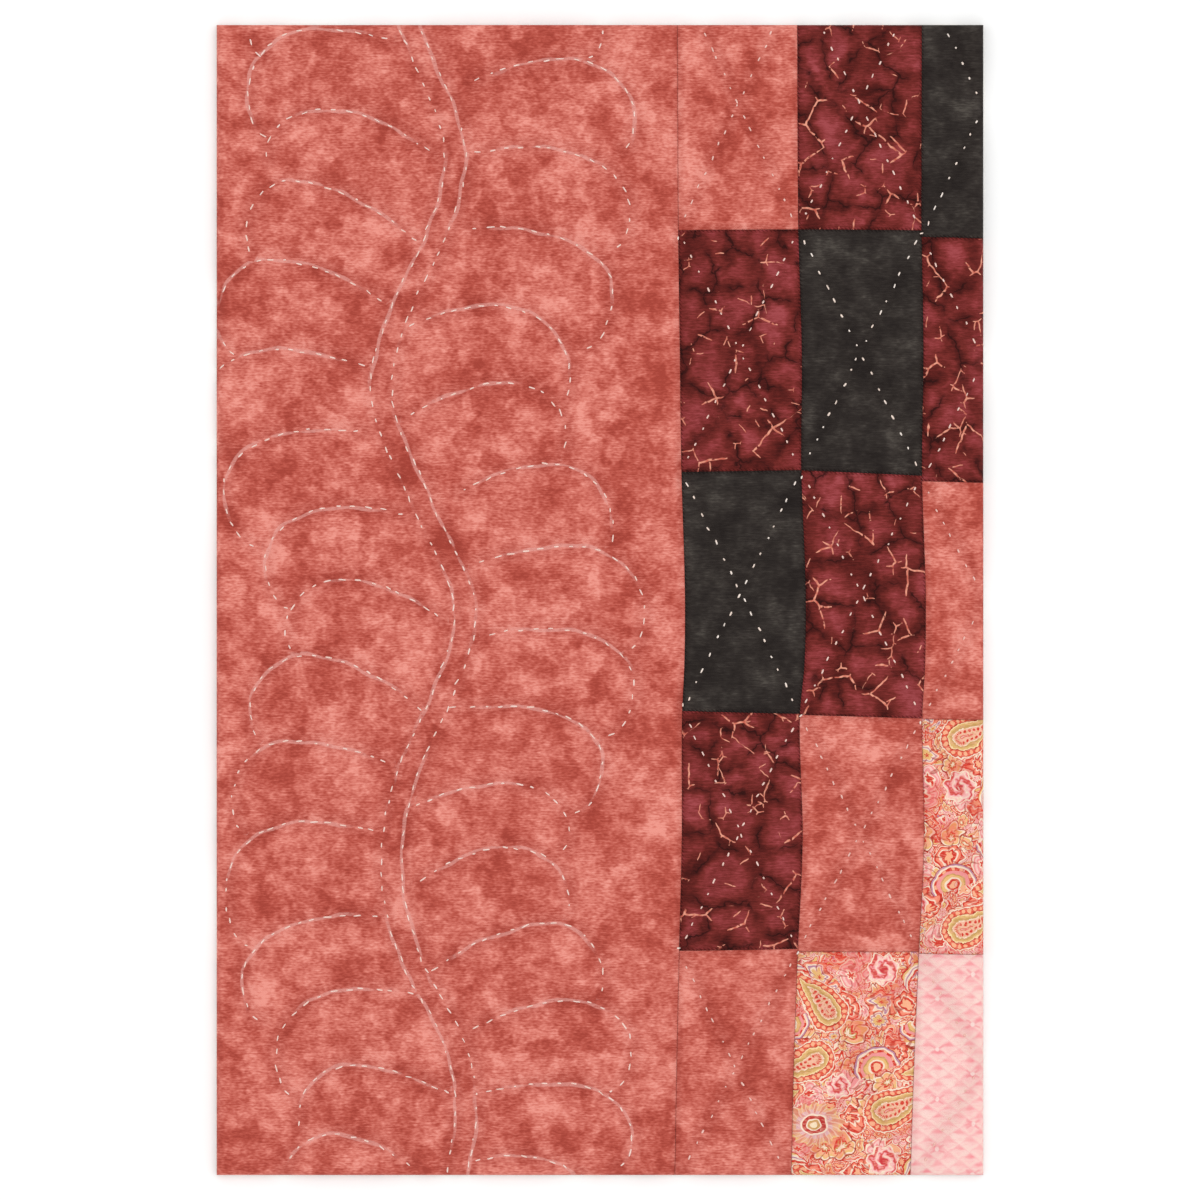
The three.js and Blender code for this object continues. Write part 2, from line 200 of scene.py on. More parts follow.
def plume(side, row):
    """Out and up with 1 - (1 - s) to the power 1.8, then a quarter ellipse out to the widest place, then another
    back in to the tip. The widest place lies 80% of the way down, or less where the tip tucks in further."""
    root, start, crest, rise, reach, fall, tuck = row
    crest_y = root + rise
    tip_y = root - fall
    wide_y = crest_y + (tip_y - crest_y) * max(0.5, 0.8 - 0.032 * tuck)
    share = np.linspace(0, 1, PLUME_POINTS)
    turn = share * math.pi / 2
    climb_out = start + share * (crest - start)
    climb_y = root + rise * (1 - (1 - share) ** PLUME_CLIMB)
    shoulder_out = crest + (reach - crest) * np.sin(turn)
    shoulder_y = wide_y + (crest_y - wide_y) * np.cos(turn)
    hook_out = reach - tuck * (1 - np.cos(turn))
    hook_y = wide_y - (wide_y - tip_y) * np.sin(turn)
    out = np.concatenate([climb_out[:-1], shoulder_out[:-1], hook_out])
    height = np.concatenate([climb_y[:-1], shoulder_y[:-1], hook_y])
    return np.column_stack([stem_x(root) + side * (STEM_HALF_WIDTH + out), height])


stem_heights = np.linspace(-HALF_LENGTH, HALF_LENGTH, STEM_POINTS)
stem_lines = [np.column_stack([stem_x(stem_heights) + side * STEM_HALF_WIDTH, stem_heights]) for side in (-1, 1)]
plume_lines = [plume(-1, row) for row in LEFT_PLUMES] + [plume(1, row) for row in RIGHT_PLUMES]
print("vine:", len(stem_lines), "stem lines and", len(plume_lines), "plumes")

# %% [markdown]
# ## The patches
# Oblong patches in three columns carry the stepped colours that give this quilt its name. Each patch knows its four
# sides, its fabric and from where on the bolt it was cut, so that no two patches show the same bit of print.

# %% The plan of every piece of the top
SEAM_CLEAR = 0.02
PATCH_FABRICS = [
    ["coral", "burgundy", "black", "burgundy", "coral"],
    ["burgundy", "black", "burgundy", "coral", "paisley"],
    ["black", "burgundy", "coral", "paisley", "pink"],
]
BOLT_PLACES = {
    "coral": [(211, 40), (340, 300), (95, 480), (290, 620), (20, 700)],
    "burgundy": [(12, 7), (83, 205), (250, 96), (147, 330), (301, 190), (35, 410)],
    "black": [(31, 66), (120, 210), (230, 20)],
    "paisley": [(3, 21), (59, 84)],
    "pink": [(0, 0)],
}


def patch_plans():
    """The border first, then the patches of each column from the top down, each with its sides and its fabric."""
    cut = (-HALF_LENGTH, HALF_LENGTH)
    plans = [dict(name="border", fabric="coral", left=cut_left, right=seam_x[0], bottom=(cut[0], cut[0]),
                  top=(cut[1], cut[1]), outer="left bottom top", bolt=(0, 0))]
    used = {fabric: 0 for fabric in BOLT_PLACES}
    for column, fabrics in enumerate(PATCH_FABRICS):
        for row, fabric in enumerate(fabrics):
            crossing = CROSS_SEAMS[column]
            outer = ["right"] * (column == 2) + ["top"] * (row == 0) + ["bottom"] * (row == 4)
            plans.append(dict(
                name=f"patch_r{row + 1}_c{column + 1}",
                fabric=fabric,
                left=seam_x[column],
                right=cut_right if column == 2 else seam_x[column + 1],
                top=(cut[1], cut[1]) if row == 0 else crossing[row - 1],
                bottom=(cut[0], cut[0]) if row == 4 else crossing[row],
                outer=" ".join(outer),
                bolt=BOLT_PLACES[fabric][used[fabric]],
            ))
            used[fabric] += 1
    return plans


def cross_of(plan, column, row):
    """Two straight lines from corner to corner of the patch before it was cut off, each short of the corners."""
    left = plan["left"]
    right = uncut_right if column == 2 else plan["right"]
    top = (UNCUT_TOP, UNCUT_TOP) if row == 0 else plan["top"]
    bottom = (UNCUT_BOTTOM, UNCUT_BOTTOM) if row == 4 else plan["bottom"]
    ends = [((left(bottom[0]), bottom[0]), (right(top[1]), top[1])),
            ((left(top[0]), top[0]), (right(bottom[1]), bottom[1]))]
    lines = []
    for a, b in ends:
        a = np.array(a, float)
        b = np.array(b, float)
        inset = (b - a) / np.hypot(*(b - a)) * CROSS_CLEAR
        share = np.linspace(0, 1, CROSS_POINTS)[:, None]
        lines.append((a + inset) * (1 - share) + (b - inset) * share)
    return lines


plans = patch_plans()
for index, plan in enumerate(plans[1:]):
    plan["lines"] = cross_of(plan, index // 5, index % 5)
print("patches:", [plan["name"] + " " + plan["fabric"] for plan in plans[1:]])

# %% [markdown]
# ## Where the needle went
# Hand quilting is a running stitch. Each line gets a whole number of stitches, and each stitch and gap differs a bit
# from the next, as a hand makes them. The places are drawn at random from one fixed seed, so they are the same on
# every run. The cloth later sinks under each stitch and lifts in each gap, so the same list drives both.

# %% Stitches along every line
VINE_PITCH = 4.6
VINE_STITCH = 2.1
CROSS_PITCH = 5.0
CROSS_STITCH = 1.35
SPACING_WANDER = 0.11
LENGTH_WANDER = 0.2
SMALL_SHARE = 0.12
SMALL_STITCH = 0.55
hand = np.random.default_rng(1893)


def run_lengths(line):
    """How far along a line each of its points lies."""
    return np.concatenate([[0.0], np.cumsum(np.hypot(*np.diff(line, axis=0).T))])


def needle_marks(line, pitch, stitch):
    """Where each stitch starts and ends along a line: evenly spaced middles, each moved and stretched a little."""
    whole = run_lengths(line)[-1]
    count = max(2, round(whole / pitch))
    step = whole / count
    middle = (np.arange(count) + 0.5 + hand.normal(0, SPACING_WANDER, count).clip(-0.2, 0.2)) * step
    small = np.where(hand.random(count) < SMALL_SHARE, SMALL_STITCH, 1.0)
    half = stitch / 2 * small * (1 + hand.normal(0, LENGTH_WANDER, count).clip(-0.35, 0.4))
    return np.column_stack([middle - half, middle + half])


def beats_along(line, marks):
    """The beat of the stitches at each point of a line. It grows by a half over each stitch and each gap."""
    places = marks.ravel()
    return np.interp(run_lengths(line), places, np.arange(len(places)) / 2)


quilting = [dict(line=line, pitch=VINE_PITCH, stitch=VINE_STITCH, ground="border") for line in stem_lines + plume_lines]
for plan in plans[1:]:
    quilting += [dict(line=line, pitch=CROSS_PITCH, stitch=CROSS_STITCH, ground=plan["fabric"]) for line in plan["lines"]]
for sewn in quilting:
    sewn["marks"] = needle_marks(sewn["line"], sewn["pitch"], sewn["stitch"])
    sewn["beat"] = beats_along(sewn["line"], sewn["marks"])
print("stitches:", sum(len(sewn["marks"]) for sewn in quilting), "on", len(quilting), "lines")

# %% [markdown]
# ## The pencil line
# The vine was drawn on the border in chalky pencil before it was quilted, and much of that line is still there. It is
# strong over the crest and the shoulder of a plume, and rubbed away at the root and the tip. On the stem it comes
# and goes. It is only a colour, so it isn't built: its strength is kept with the lines for the border's material.

# %% Where the pencil line is left
PLUME_PENCIL = (0.05, 0.78)
PLUME_PENCIL_WANDER = 0.20
PENCIL_SOFT = 0.12
STEM_PENCIL_BEATS = 20.0
STEM_PENCIL_STARTS = (5.16, 2.42)
STEM_PENCIL_SHARE = 0.75


def pencil_along(index, line):
    """On a plume a step up near its root times a step down past its shoulder, at another place on each plume. On
    the stem a slow wave."""
    share = run_lengths(line) / run_lengths(line)[-1]
    if index < len(stem_lines):
        beat = share * STEM_PENCIL_BEATS + STEM_PENCIL_STARTS[index]
        wave = np.sin(beat) + 0.5 * np.sin(beat * 2.3)
        return np.clip(wave + STEM_PENCIL_SHARE, 0, 1)
    if index < len(stem_lines) + len(plume_lines):
        rise = np.clip((share - PLUME_PENCIL[0]) / PENCIL_SOFT, 0, 1)
        last = PLUME_PENCIL[1] + PLUME_PENCIL_WANDER * math.sin(index * 2.4)
        fall = np.clip((last - share) / PENCIL_SOFT, 0, 1)
        return rise * fall
    return share * 0


for index, sewn in enumerate(quilting):
    sewn["pencil"] = pencil_along(index, sewn["line"])
print("pencil left on", round(float(np.mean([sewn["pencil"].mean() for sewn in quilting[:34]])), 2), "of the vine")

# %% [markdown]
# ## How far from a line
# All the relief follows from one measure: how far a point lies from the nearest line of stitches. It is worked out
# for a whole block of points against all stretches at once. The same pass returns the arrow to the nearest point,
# which later lets a thin pencil line be drawn sharply on a fairly coarse mesh, and the beat of the stitches there.

# %% Measuring to lines
BLOCK = 600


def stretches_of(lines, beats, pencils):
    """Straight stretches: where each one starts, how it runs, and the beat and the pencil strength at both ends."""
    run = np.concatenate([np.diff(line, axis=0) for line in lines])
    return dict(
        start=np.concatenate([line[:-1] for line in lines]),
        run=run,
        square=np.maximum((run**2).sum(1), 1e-9),
        beat=np.concatenate([beat[:-1] for beat in beats]),
        beat_run=np.concatenate([np.diff(beat) for beat in beats]),
        pencil=np.concatenate([strength[:-1] for strength in pencils]),
    )


def near(stretches, reach, x, y):
    """For each point the arrow to the nearest stretch, how long it is, and the beat and pencil strength there.
    Stretches further than reach outside the points' own box are left out."""
    low = np.array([x.min(), y.min()]) - reach
    high = np.array([x.max(), y.max()]) + reach
    stop = stretches["start"] + stretches["run"]
    close = ((np.maximum(stretches["start"], stop) > low) & (np.minimum(stretches["start"], stop) < high)).all(1)
    kept = {name: values[close] for name, values in stretches.items()}
    place = np.column_stack([x.ravel(), y.ravel()])
    arrow = np.empty((len(place), 2))
    beat = np.empty(len(place))
    pencil = np.empty(len(place))
    for first in range(0, len(place), BLOCK):
        block = slice(first, min(first + BLOCK, len(place)))
        dx = place[block, 0, None] - kept["start"][:, 0]
        dy = place[block, 1, None] - kept["start"][:, 1]
        t = np.clip((dx * kept["run"][:, 0] + dy * kept["run"][:, 1]) / kept["square"], 0, 1)
        miss_x = t * kept["run"][:, 0] - dx
        miss_y = t * kept["run"][:, 1] - dy
        best = (miss_x**2 + miss_y**2).argmin(1)
        row = np.arange(len(best))
        arrow[block, 0] = miss_x[row, best]
        arrow[block, 1] = miss_y[row, best]
        beat[block] = kept["beat"][best] + t[row, best] * kept["beat_run"][best]
        pencil[block] = kept["pencil"][best]
    return dict(
        arrow=arrow.reshape(*x.shape, 2),
        far=np.hypot(*arrow.T).reshape(x.shape),
        beat=beat.reshape(x.shape),
        pencil=pencil.reshape(x.shape),
    )


quilting_runs = stretches_of(*[[sewn[part] for sewn in quilting] for part in ("line", "beat", "pencil")])
seam_lines = [np.column_stack([curve(stem_heights), stem_heights]) for curve in seam_x]
for column, crossing in enumerate(CROSS_SEAMS):
    ends = (seam_x + [cut_right])[column:column + 2]
    for left_y, right_y in crossing:
        seam_lines.append(np.array([[ends[0](left_y), left_y], [ends[1](right_y), right_y]], float))
plain = [line[:, 0] * 0 for line in seam_lines]
seam_runs = stretches_of(seam_lines, plain, plain)
print("stretches:", len(quilting_runs["start"]), "of quilting,", len(seam_runs["start"]), "of seams")

# %% [markdown]
# ## The quilted face
# Between its lines the cloth puffs up over the wadding, and at the stitches it is drawn down. The puff is the frame's
# own formula, with the finer forms that a hand leaves added to it: a dimple under each stitch, a small lift in each
# gap, and a few soft creases, placed where the real cloth has them.

# %% Height of the face
REACH = 16.0
TROUGH_ROUND = 0.55
PUCKER = 0.17
PUCKER_NEAR = 1.7
PUCKER_WIDE = 0.06
PUCKER_FAR = 4.2

# Soft creases: middle across and up, direction in degrees, half length, half width, height
CREASES = np.array([
    [8.0, -40.5, 14, 13.0, 2.4, -0.34],
    [14.0, -22.0, 35, 10.0, 2.2, 0.22],
    [-4.0, -30.0, 62, 11.0, 2.6, -0.24],
    [2.0, -8.0, -48, 12.0, 2.0, 0.20],
    [13.0, 34.0, 80, 14.0, 2.4, 0.20],
    [-30.0, 150.0, 25, 12.0, 2.6, -0.20],
    [-92.0, 96.0, -20, 14.0, 2.8, 0.22],
    [-84.0, 22.0, 12, 12.0, 2.4, -0.22],
    [-97.0, -44.0, -34, 12.0, 2.2, 0.20],
    [-28.0, -70.0, 40, 15.0, 3.0, -0.24],
    [-20.0, -128.0, -15, 13.0, 2.6, 0.22],
    [-88.0, -140.0, 28, 14.0, 2.6, -0.22],
    [44.0, 22.0, 64, 13.0, 1.9, 0.22],
    [46.0, -12.0, -62, 13.0, 1.9, -0.20],
    [80.0, 66.0, 60, 14.0, 2.0, 0.20],
    [84.0, 92.0, -66, 12.0, 2.0, -0.18],
    [42.0, -76.0, 70, 12.0, 2.0, 0.20],
    [82.0, -84.0, -58, 14.0, 2.2, -0.20],
    [110.0, 74.0, 72, 12.0, 2.0, 0.18],
    [40.0, 150.0, -64, 12.0, 2.0, 0.18],
])


def creases_at(x, y):
    """Each crease is a long bell: a bell curve along it times a bell curve across it."""
    height = np.zeros(x.shape)
    for middle_x, middle_y, degrees, half_length, half_width, rise in CREASES:
        turn = math.radians(degrees)
        along = (x - middle_x) * math.cos(turn) + (y - middle_y) * math.sin(turn)
        across = (y - middle_y) * math.cos(turn) - (x - middle_x) * math.sin(turn)
        height += rise * np.exp(-((along / half_length) ** 2) - (across / half_width) ** 2)
    return height


def face_height(x, y):
    """Stitched height plus the puff, 1 - exp(-(far / shoulder) ** roundness), less the dip at seams or cut edges,
    plus creases and a pucker that is lowest under a stitch and highest in a gap, all fading at the edges."""
    sewn = near(quilting_runs, REACH, x, y)
    seam = near(seam_runs, REACH, x, y)
    rounded = np.hypot(sewn["far"], TROUGH_ROUND)
    puff = 1 - np.exp(-((rounded / SHOULDER) ** SHOULDER_ROUNDNESS))
    wave = WAVE_SHARE * np.sin(x / WAVE_ACROSS) * np.cos(y / WAVE_ALONG)
    from_edge = np.minimum(HALF_WIDTH - np.abs(x), HALF_LENGTH - np.abs(y))
    dip = np.maximum(
        SEAM_DIP * np.exp(-((seam["far"] / SEAM_SHOULDER) ** 2)),
        EDGE_DIP * np.exp(-((from_edge / EDGE_SHOULDER) ** 2)),
    )
    beat = -np.sin(2 * math.pi * sewn["beat"])
    pucker = PUCKER * np.exp(-((sewn["far"] / PUCKER_NEAR) ** 2)) + PUCKER_WIDE * np.exp(-sewn["far"] / PUCKER_FAR)
    fade = np.clip(np.minimum(seam["far"], from_edge) / 2.5, 0, 1)
    height = STITCHED + (LOFT - STITCHED) * puff * (1 + wave) - dip
    return height + fade * (beat * pucker + creases_at(x, y)), sewn, seam


across_middle = np.linspace(-HALF_WIDTH, HALF_WIDTH, 121)[None]
middle_heights = face_height(across_middle, across_middle * 0)[0]
print("face heights across the middle:", middle_heights.min().round(2), "to", middle_heights.max().round(2), "mm")

# %% [markdown]
# ## Cloth as a thin closed sheet
# Each piece of the top is a sheet a fifth of a millimetre thick. Its grid runs from side to side in shares, with
# fine rows next to the edges, where the cloth rolls down into a seam or round the outer edge. The inner face is the
# outer one moved inwards along its normals. A Solidify modifier could do that too, but here the rolled edges keep
# their own shape and the mesh is final.

# %% Grids and closed sheets
CLOTH = 0.2
EDGE_JOIN = 0.8
EDGE_ROLL = 0.9
SEAM_ROLL = 0.12
SEAM_DROP = 0.12
OUTER_TURNS = np.radians([22, 44, 66, 86, 100])
SEAM_TURNS = np.radians([45, 90])
FINE_ROWS = np.array([0, 0.4, 0.9, 1.5, 2.2])


def rows_between(length, cell):
    """Shares from one side of a piece to the other: fine next to both sides and even between."""
    count = max(2, round((length - 2 * FINE_ROWS[-1]) / cell))
    middle = np.linspace(FINE_ROWS[-1], length - FINE_ROWS[-1], count + 1)
    return np.concatenate([FINE_ROWS[:-1], middle, length - FINE_ROWS[-2::-1]]) / length


def with_turns(shares, low_outer, high_outer):
    """Adds the turned-down rows at both ends. Returns the share of each row and its turn at the low and high end."""
    low = OUTER_TURNS if low_outer else SEAM_TURNS
    high = OUTER_TURNS if high_outer else SEAM_TURNS
    share = np.concatenate([np.zeros(len(low)), shares, np.ones(len(high))])
    low_turn = np.concatenate([low[::-1], np.zeros(len(shares) + len(high))])
    high_turn = np.concatenate([np.zeros(len(low) + len(shares)), high])
    return share, low_turn, high_turn


def grid_normals(place):
    """The cross product of the steps along both directions of a grid, made one long."""
    normal = np.cross(np.gradient(place, axis=0), np.gradient(place, axis=1))
    return normal / np.maximum(np.linalg.norm(normal, axis=2, keepdims=True), 1e-12)


def sheet_faces(rows, columns):
    """Quads of a closed sheet whose outer and inner grids follow each other, joined by a rim."""
    outer = np.arange(rows * columns).reshape(rows, columns)
    quads = np.stack([outer[:-1, :-1], outer[1:, :-1], outer[1:, 1:], outer[:-1, 1:]], -1).reshape(-1, 4)
    inner = quads[:, ::-1] + rows * columns
    loop = np.concatenate([outer[:-1, 0], outer[-1, :-1], outer[:0:-1, -1], outer[0, :0:-1]])
    ahead = np.roll(loop, -1)
    below = rows * columns
    rim = np.column_stack([loop + below, ahead + below, ahead, loop])
    return np.concatenate([quads, inner, rim])


def mesh_piece(name, places, faces, smooth=True):
    """A new object from millimetre places and faces that all have the same number of corners."""
    mesh = bpy.data.meshes.new(name)
    corners = faces.shape[1]
    mesh.vertices.add(len(places))
    mesh.vertices.foreach_set("co", (places * MM).astype(np.float32).ravel())
    mesh.loops.add(faces.size)
    mesh.loops.foreach_set("vertex_index", faces.astype(np.int32).ravel())
    mesh.polygons.add(len(faces))
    mesh.polygons.foreach_set("loop_start", np.arange(0, faces.size, corners, dtype=np.int32))
    mesh.polygons.foreach_set("use_smooth", np.full(len(faces), smooth))
    mesh.update(calc_edges=True)
    mesh.validate()
    piece = bpy.data.objects.new(name, mesh)
    bpy.context.scene.collection.objects.link(piece)
    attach(piece, "root")
    return piece


def set_flat_map(piece, faces, flat):
    """A UV map in metres of flat cloth, so that a print keeps its size where the cloth is turned down."""
    layer = piece.data.uv_layers.new(name="cloth")
    layer.data.foreach_set("uv", (flat[faces.ravel()] * MM).astype(np.float32).ravel())


def set_attribute(piece, name, kind, values):
    """One value or arrow for each vertex, that a material can read by name."""
    made = piece.data.attributes.new(name, kind, "POINT")
    made.data.foreach_set("value" if kind == "FLOAT" else "vector", values.astype(np.float32).ravel())


# %% [markdown]
# ## The pieces of the top
# The surface of a piece: share across and share up give a place between its four wandering sides, and the turns give
# how far round an edge the cloth has gone. An outer edge turns down to meet the backing, and a seam edge dives into
# the seam. What materials need is stored on the vertices: how far the seam is, the arrow to the quilting line, the
# beat of the stitches and how strong the pencil line is.

# %% Build the border and the patches
BORDER_CELL = 1.1
PATCH_CELL = 0.75


def cloth_surface(plan, cell):
    """Places of the outer face and what is known at each one, from the sides of a piece."""
    outer = plan["outer"].split()
    middle_y = (plan["bottom"][0] + plan["top"][0]) / 2
    across = float(plan["right"](middle_y) - plan["left"](middle_y))
    upward = plan["top"][0] - plan["bottom"][0]
    a, left_turn, right_turn = with_turns(rows_between(across, cell), "left" in outer, "right" in outer)
    b, low_turn, high_turn = with_turns(rows_between(upward, cell), "bottom" in outer, "top" in outer)
    inset = {side: EDGE_ROLL if side in outer else SEAM_CLEAR + SEAM_ROLL for side in ("left", "right", "bottom", "top")}
    roll = {side: EDGE_ROLL if side in outer else SEAM_ROLL for side in inset}
    a, b = np.meshgrid(a, b, indexing="ij")
    left_turn, low_turn = np.meshgrid(left_turn, low_turn, indexing="ij")
    right_turn, high_turn = np.meshgrid(right_turn, high_turn, indexing="ij")
    bottom = plan["bottom"][0] * (1 - a) + plan["bottom"][1] * a + inset["bottom"]
    top = plan["top"][0] * (1 - a) + plan["top"][1] * a - inset["top"]
    y = bottom * (1 - b) + top * b
    x = (plan["left"](y) + inset["left"]) * (1 - a) + (plan["right"](y) - inset["right"]) * a
    height, sewn, seam = face_height(x, y)
    drop = np.zeros(x.shape)
    flat = np.stack([x, y], -1)
    place = np.stack([x, y, height], -1)
    for side, turn, axis, way in (("left", left_turn, 0, -1), ("right", right_turn, 0, 1),
                                  ("bottom", low_turn, 1, -1), ("top", high_turn, 1, 1)):
        depth = height - EDGE_JOIN if side in outer else SEAM_DROP
        drop = np.maximum(drop, depth * (1 - np.cos(turn)))
        place[..., axis] += way * roll[side] * np.sin(turn)
        flat[..., axis] += way * turn * (roll[side] + np.mean(depth)) / 2
    place[..., 2] -= drop
    return place, flat, sewn, seam


def build_cloth(plan, cell):
    """A closed sheet on the quilted face, with its print map and its attributes."""
    place, flat, sewn, seam = cloth_surface(plan, cell)
    rows, columns = place.shape[:2]
    inner = place - CLOTH * grid_normals(place)
    places = np.concatenate([place.reshape(-1, 3), inner.reshape(-1, 3)])
    faces = sheet_faces(rows, columns)
    piece = mesh_piece(f"{plan['name']}_cloth", places, faces)
    on_bolt = flat + np.array(plan["bolt"], float)
    set_flat_map(piece, faces, np.tile(on_bolt.reshape(-1, 2), (2, 1)))
    arrow = np.concatenate([sewn["arrow"], np.zeros((rows, columns, 1))], -1)
    set_attribute(piece, "to_stitches", "FLOAT_VECTOR", np.tile(arrow.reshape(-1, 3), (2, 1)))
    for name, values in (("from_stitches", sewn["far"]), ("beat", sewn["beat"]), ("from_seam", seam["far"]),
                         ("pencil", sewn["pencil"])):
        set_attribute(piece, name, "FLOAT", np.tile(values.ravel(), 2))
    size = [float(np.ptp(flat[..., axis])) * MM for axis in (0, 1)]
    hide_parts(plan["name"])
    return piece


cloths = {}
for plan in plans:
    piece = build_cloth(plan, BORDER_CELL if plan["name"] == "border" else PATCH_CELL)
    cloths.setdefault(plan["fabric"], []).append(piece)
    print(piece.name, "faces:", len(piece.data.polygons))

# %% [markdown]
# ## The backing
# The underside doesn't show in a photo from above, so it is finished plainly: one sheet of unbleached cotton. It lies
# flat, is drawn up a little along every line of quilting, and turns up at the edges to meet the top in a knife edge.

# %% Build the backing
BACKING_CELL = 1.65
BACKING_LIFT = 0.42
BACKING_SHOULDER = 1.9


def backing_surface():
    """The flat underside plus a bell curve of the distance to the stitches, turned up round all four edges."""
    width = 2 * HALF_WIDTH
    length = 2 * HALF_LENGTH
    a, left_turn, right_turn = with_turns(rows_between(width, BACKING_CELL), True, True)
    b, low_turn, high_turn = with_turns(rows_between(length, BACKING_CELL), True, True)
    a, b = np.meshgrid(a, b, indexing="ij")
    left_turn, low_turn = np.meshgrid(left_turn, low_turn, indexing="ij")
    right_turn, high_turn = np.meshgrid(right_turn, high_turn, indexing="ij")
    x = (a * 2 - 1) * (HALF_WIDTH - EDGE_ROLL)
    y = (b * 2 - 1) * (HALF_LENGTH - EDGE_ROLL)
    sewn = near(quilting_runs, REACH, x, y)
    from_edge = np.minimum(HALF_WIDTH - np.abs(x), HALF_LENGTH - np.abs(y))
    lift = BACKING_LIFT * np.exp(-((sewn["far"] / BACKING_SHOULDER) ** 2)) * np.clip(from_edge / 3 - 0.3, 0, 1)
    turn = np.maximum(np.maximum(left_turn, right_turn), np.maximum(low_turn, high_turn))
    rise = (EDGE_JOIN - lift) * (1 - np.cos(np.minimum(turn, math.pi / 2)))
    out_x = EDGE_ROLL * (np.sin(right_turn) - np.sin(left_turn))
    out_y = EDGE_ROLL * (np.sin(high_turn) - np.sin(low_turn))
    flat_x = x + (right_turn - left_turn) * (EDGE_ROLL + EDGE_JOIN) / 2
    flat_y = y + (high_turn - low_turn) * (EDGE_ROLL + EDGE_JOIN) / 2
    return np.stack([x + out_x, y + out_y, lift + rise], -1), np.stack([flat_x, flat_y], -1), sewn


under_place, under_flat, under_sewn = backing_surface()
under_rows, under_columns = under_place.shape[:2]
under_inner = under_place + CLOTH * grid_normals(under_place)
under_faces = sheet_faces(under_rows, under_columns)[:, ::-1]
backing = mesh_piece("backing_cloth", np.concatenate([under_place.reshape(-1, 3), under_inner.reshape(-1, 3)]), under_faces)
set_flat_map(backing, under_faces, np.tile(under_flat.reshape(-1, 2), (2, 1)))
[float(np.ptp(under_flat[..., axis])) * MM for axis in (0, 1)]
print("backing faces:", len(backing.data.polygons))

# %% [markdown]
# ## The thread
# Each visible stitch is a short bead of waxed thread that comes up out of the cloth, lies on it and goes down again.
# All stitches of a kind are one mesh: a six-sided tube carried along seven places of each stitch. Curves with a bevel
# would look the same, but a thousand of them would be slow, and whole arrays make them at once.

# %% Stitches on the face
VINE_THREAD = 0.26
CROSS_THREAD = 0.28
TINTS = {"border": 0.4, "coral": 0.7, "burgundy": 0.45, "black": 0.0, "paisley": 1.0, "pink": 0.7}
STITCH_STRAY = 0.16
TUBE_SIDES = 6
TUBE_PLACES = 7
STITCH_TURN = 6.0
STITCH_SINK = 0.26
STITCH_LIFT = 0.42
END_ROOM = 1.6


def stitch_middles(line, marks):
    """The middle and the half length of each stitch as arrows on the flat cloth, turned a few degrees off the line."""
    along = run_lengths(line)
    ends = [np.column_stack([np.interp(place, along, line[:, 0]), np.interp(place, along, line[:, 1])])
            for place in marks.T]
    middle = (ends[0] + ends[1]) / 2
    half = (ends[1] - ends[0]) / 2
    turn = np.radians(hand.normal(0, STITCH_TURN, len(half)))
    across = half[:, 0] * np.cos(turn) - half[:, 1] * np.sin(turn)
    upward = half[:, 0] * np.sin(turn) + half[:, 1] * np.cos(turn)
    inside = (np.abs(middle[:, 0]) < HALF_WIDTH - END_ROOM) & (np.abs(middle[:, 1]) < HALF_LENGTH - END_ROOM)
    stray = hand.normal(0, STITCH_STRAY, middle.shape)
    return (middle + stray)[inside], np.column_stack([across, upward])[inside]


def thread_beads(name, middle, half, radius, tints):
    """Tubes along each stitch: height is the cloth's, less a sink, plus a lift times a half ellipse along it. The
    tube's radius follows the square root of the same ellipse, so both ends are rounded."""
    share = np.linspace(-1, 1, TUBE_PLACES)
    bow = np.sqrt(np.clip(1 - (share * 0.985) ** 2, 0, 1))
    path = middle[:, None, :] + half[:, None, :] * share[None, :, None]
    height = face_height(path[..., 0], path[..., 1])[0] + STITCH_LIFT * bow - STITCH_SINK
    forward = half / np.linalg.norm(half, axis=1, keepdims=True)
    sideways = np.stack([-forward[:, 1], forward[:, 0]], -1)
    around = np.arange(TUBE_SIDES) * 2 * math.pi / TUBE_SIDES
    girth = radius[:, None] * np.sqrt(bow)[None, :]
    spread = girth[..., None] * np.cos(around)
    flat = path[:, :, None, :] + sideways[:, None, None, :] * spread[..., None]
    up = height[..., None] + girth[..., None] * np.sin(around)
    places = np.concatenate([flat, up[..., None]], -1)
    ring = np.arange(TUBE_SIDES)
    ahead = np.roll(ring, -1)
    tube = np.concatenate([
        np.column_stack([ring + k * TUBE_SIDES, ring + (k + 1) * TUBE_SIDES, ahead + (k + 1) * TUBE_SIDES,
                         ahead + k * TUBE_SIDES]) for k in range(TUBE_PLACES - 1)])
    last = (TUBE_PLACES - 1) * TUBE_SIDES
    caps = np.array([[3, 2, 1, 0], [0, 5, 4, 3], [last, last + 1, last + 2, last + 3], [last + 3, last + 4, last + 5, last]])
    one = np.concatenate([tube[:, ::-1], caps[:, ::-1]])
    first = np.arange(len(middle)) * TUBE_SIDES * TUBE_PLACES
    faces = (one[None] + first[:, None, None]).reshape(-1, 4)
    piece = mesh_piece(name, places.reshape(-1, 3), faces)
    lengthwise = np.broadcast_to((share * np.linalg.norm(half, axis=1)[:, None])[..., None], up.shape)
    set_flat_map(piece, faces, np.stack([lengthwise, np.broadcast_to(around * radius.mean(), up.shape)], -1).reshape(-1, 2))
    set_attribute(piece, "tint", "FLOAT", np.repeat(tints, TUBE_SIDES * TUBE_PLACES))
    return piece


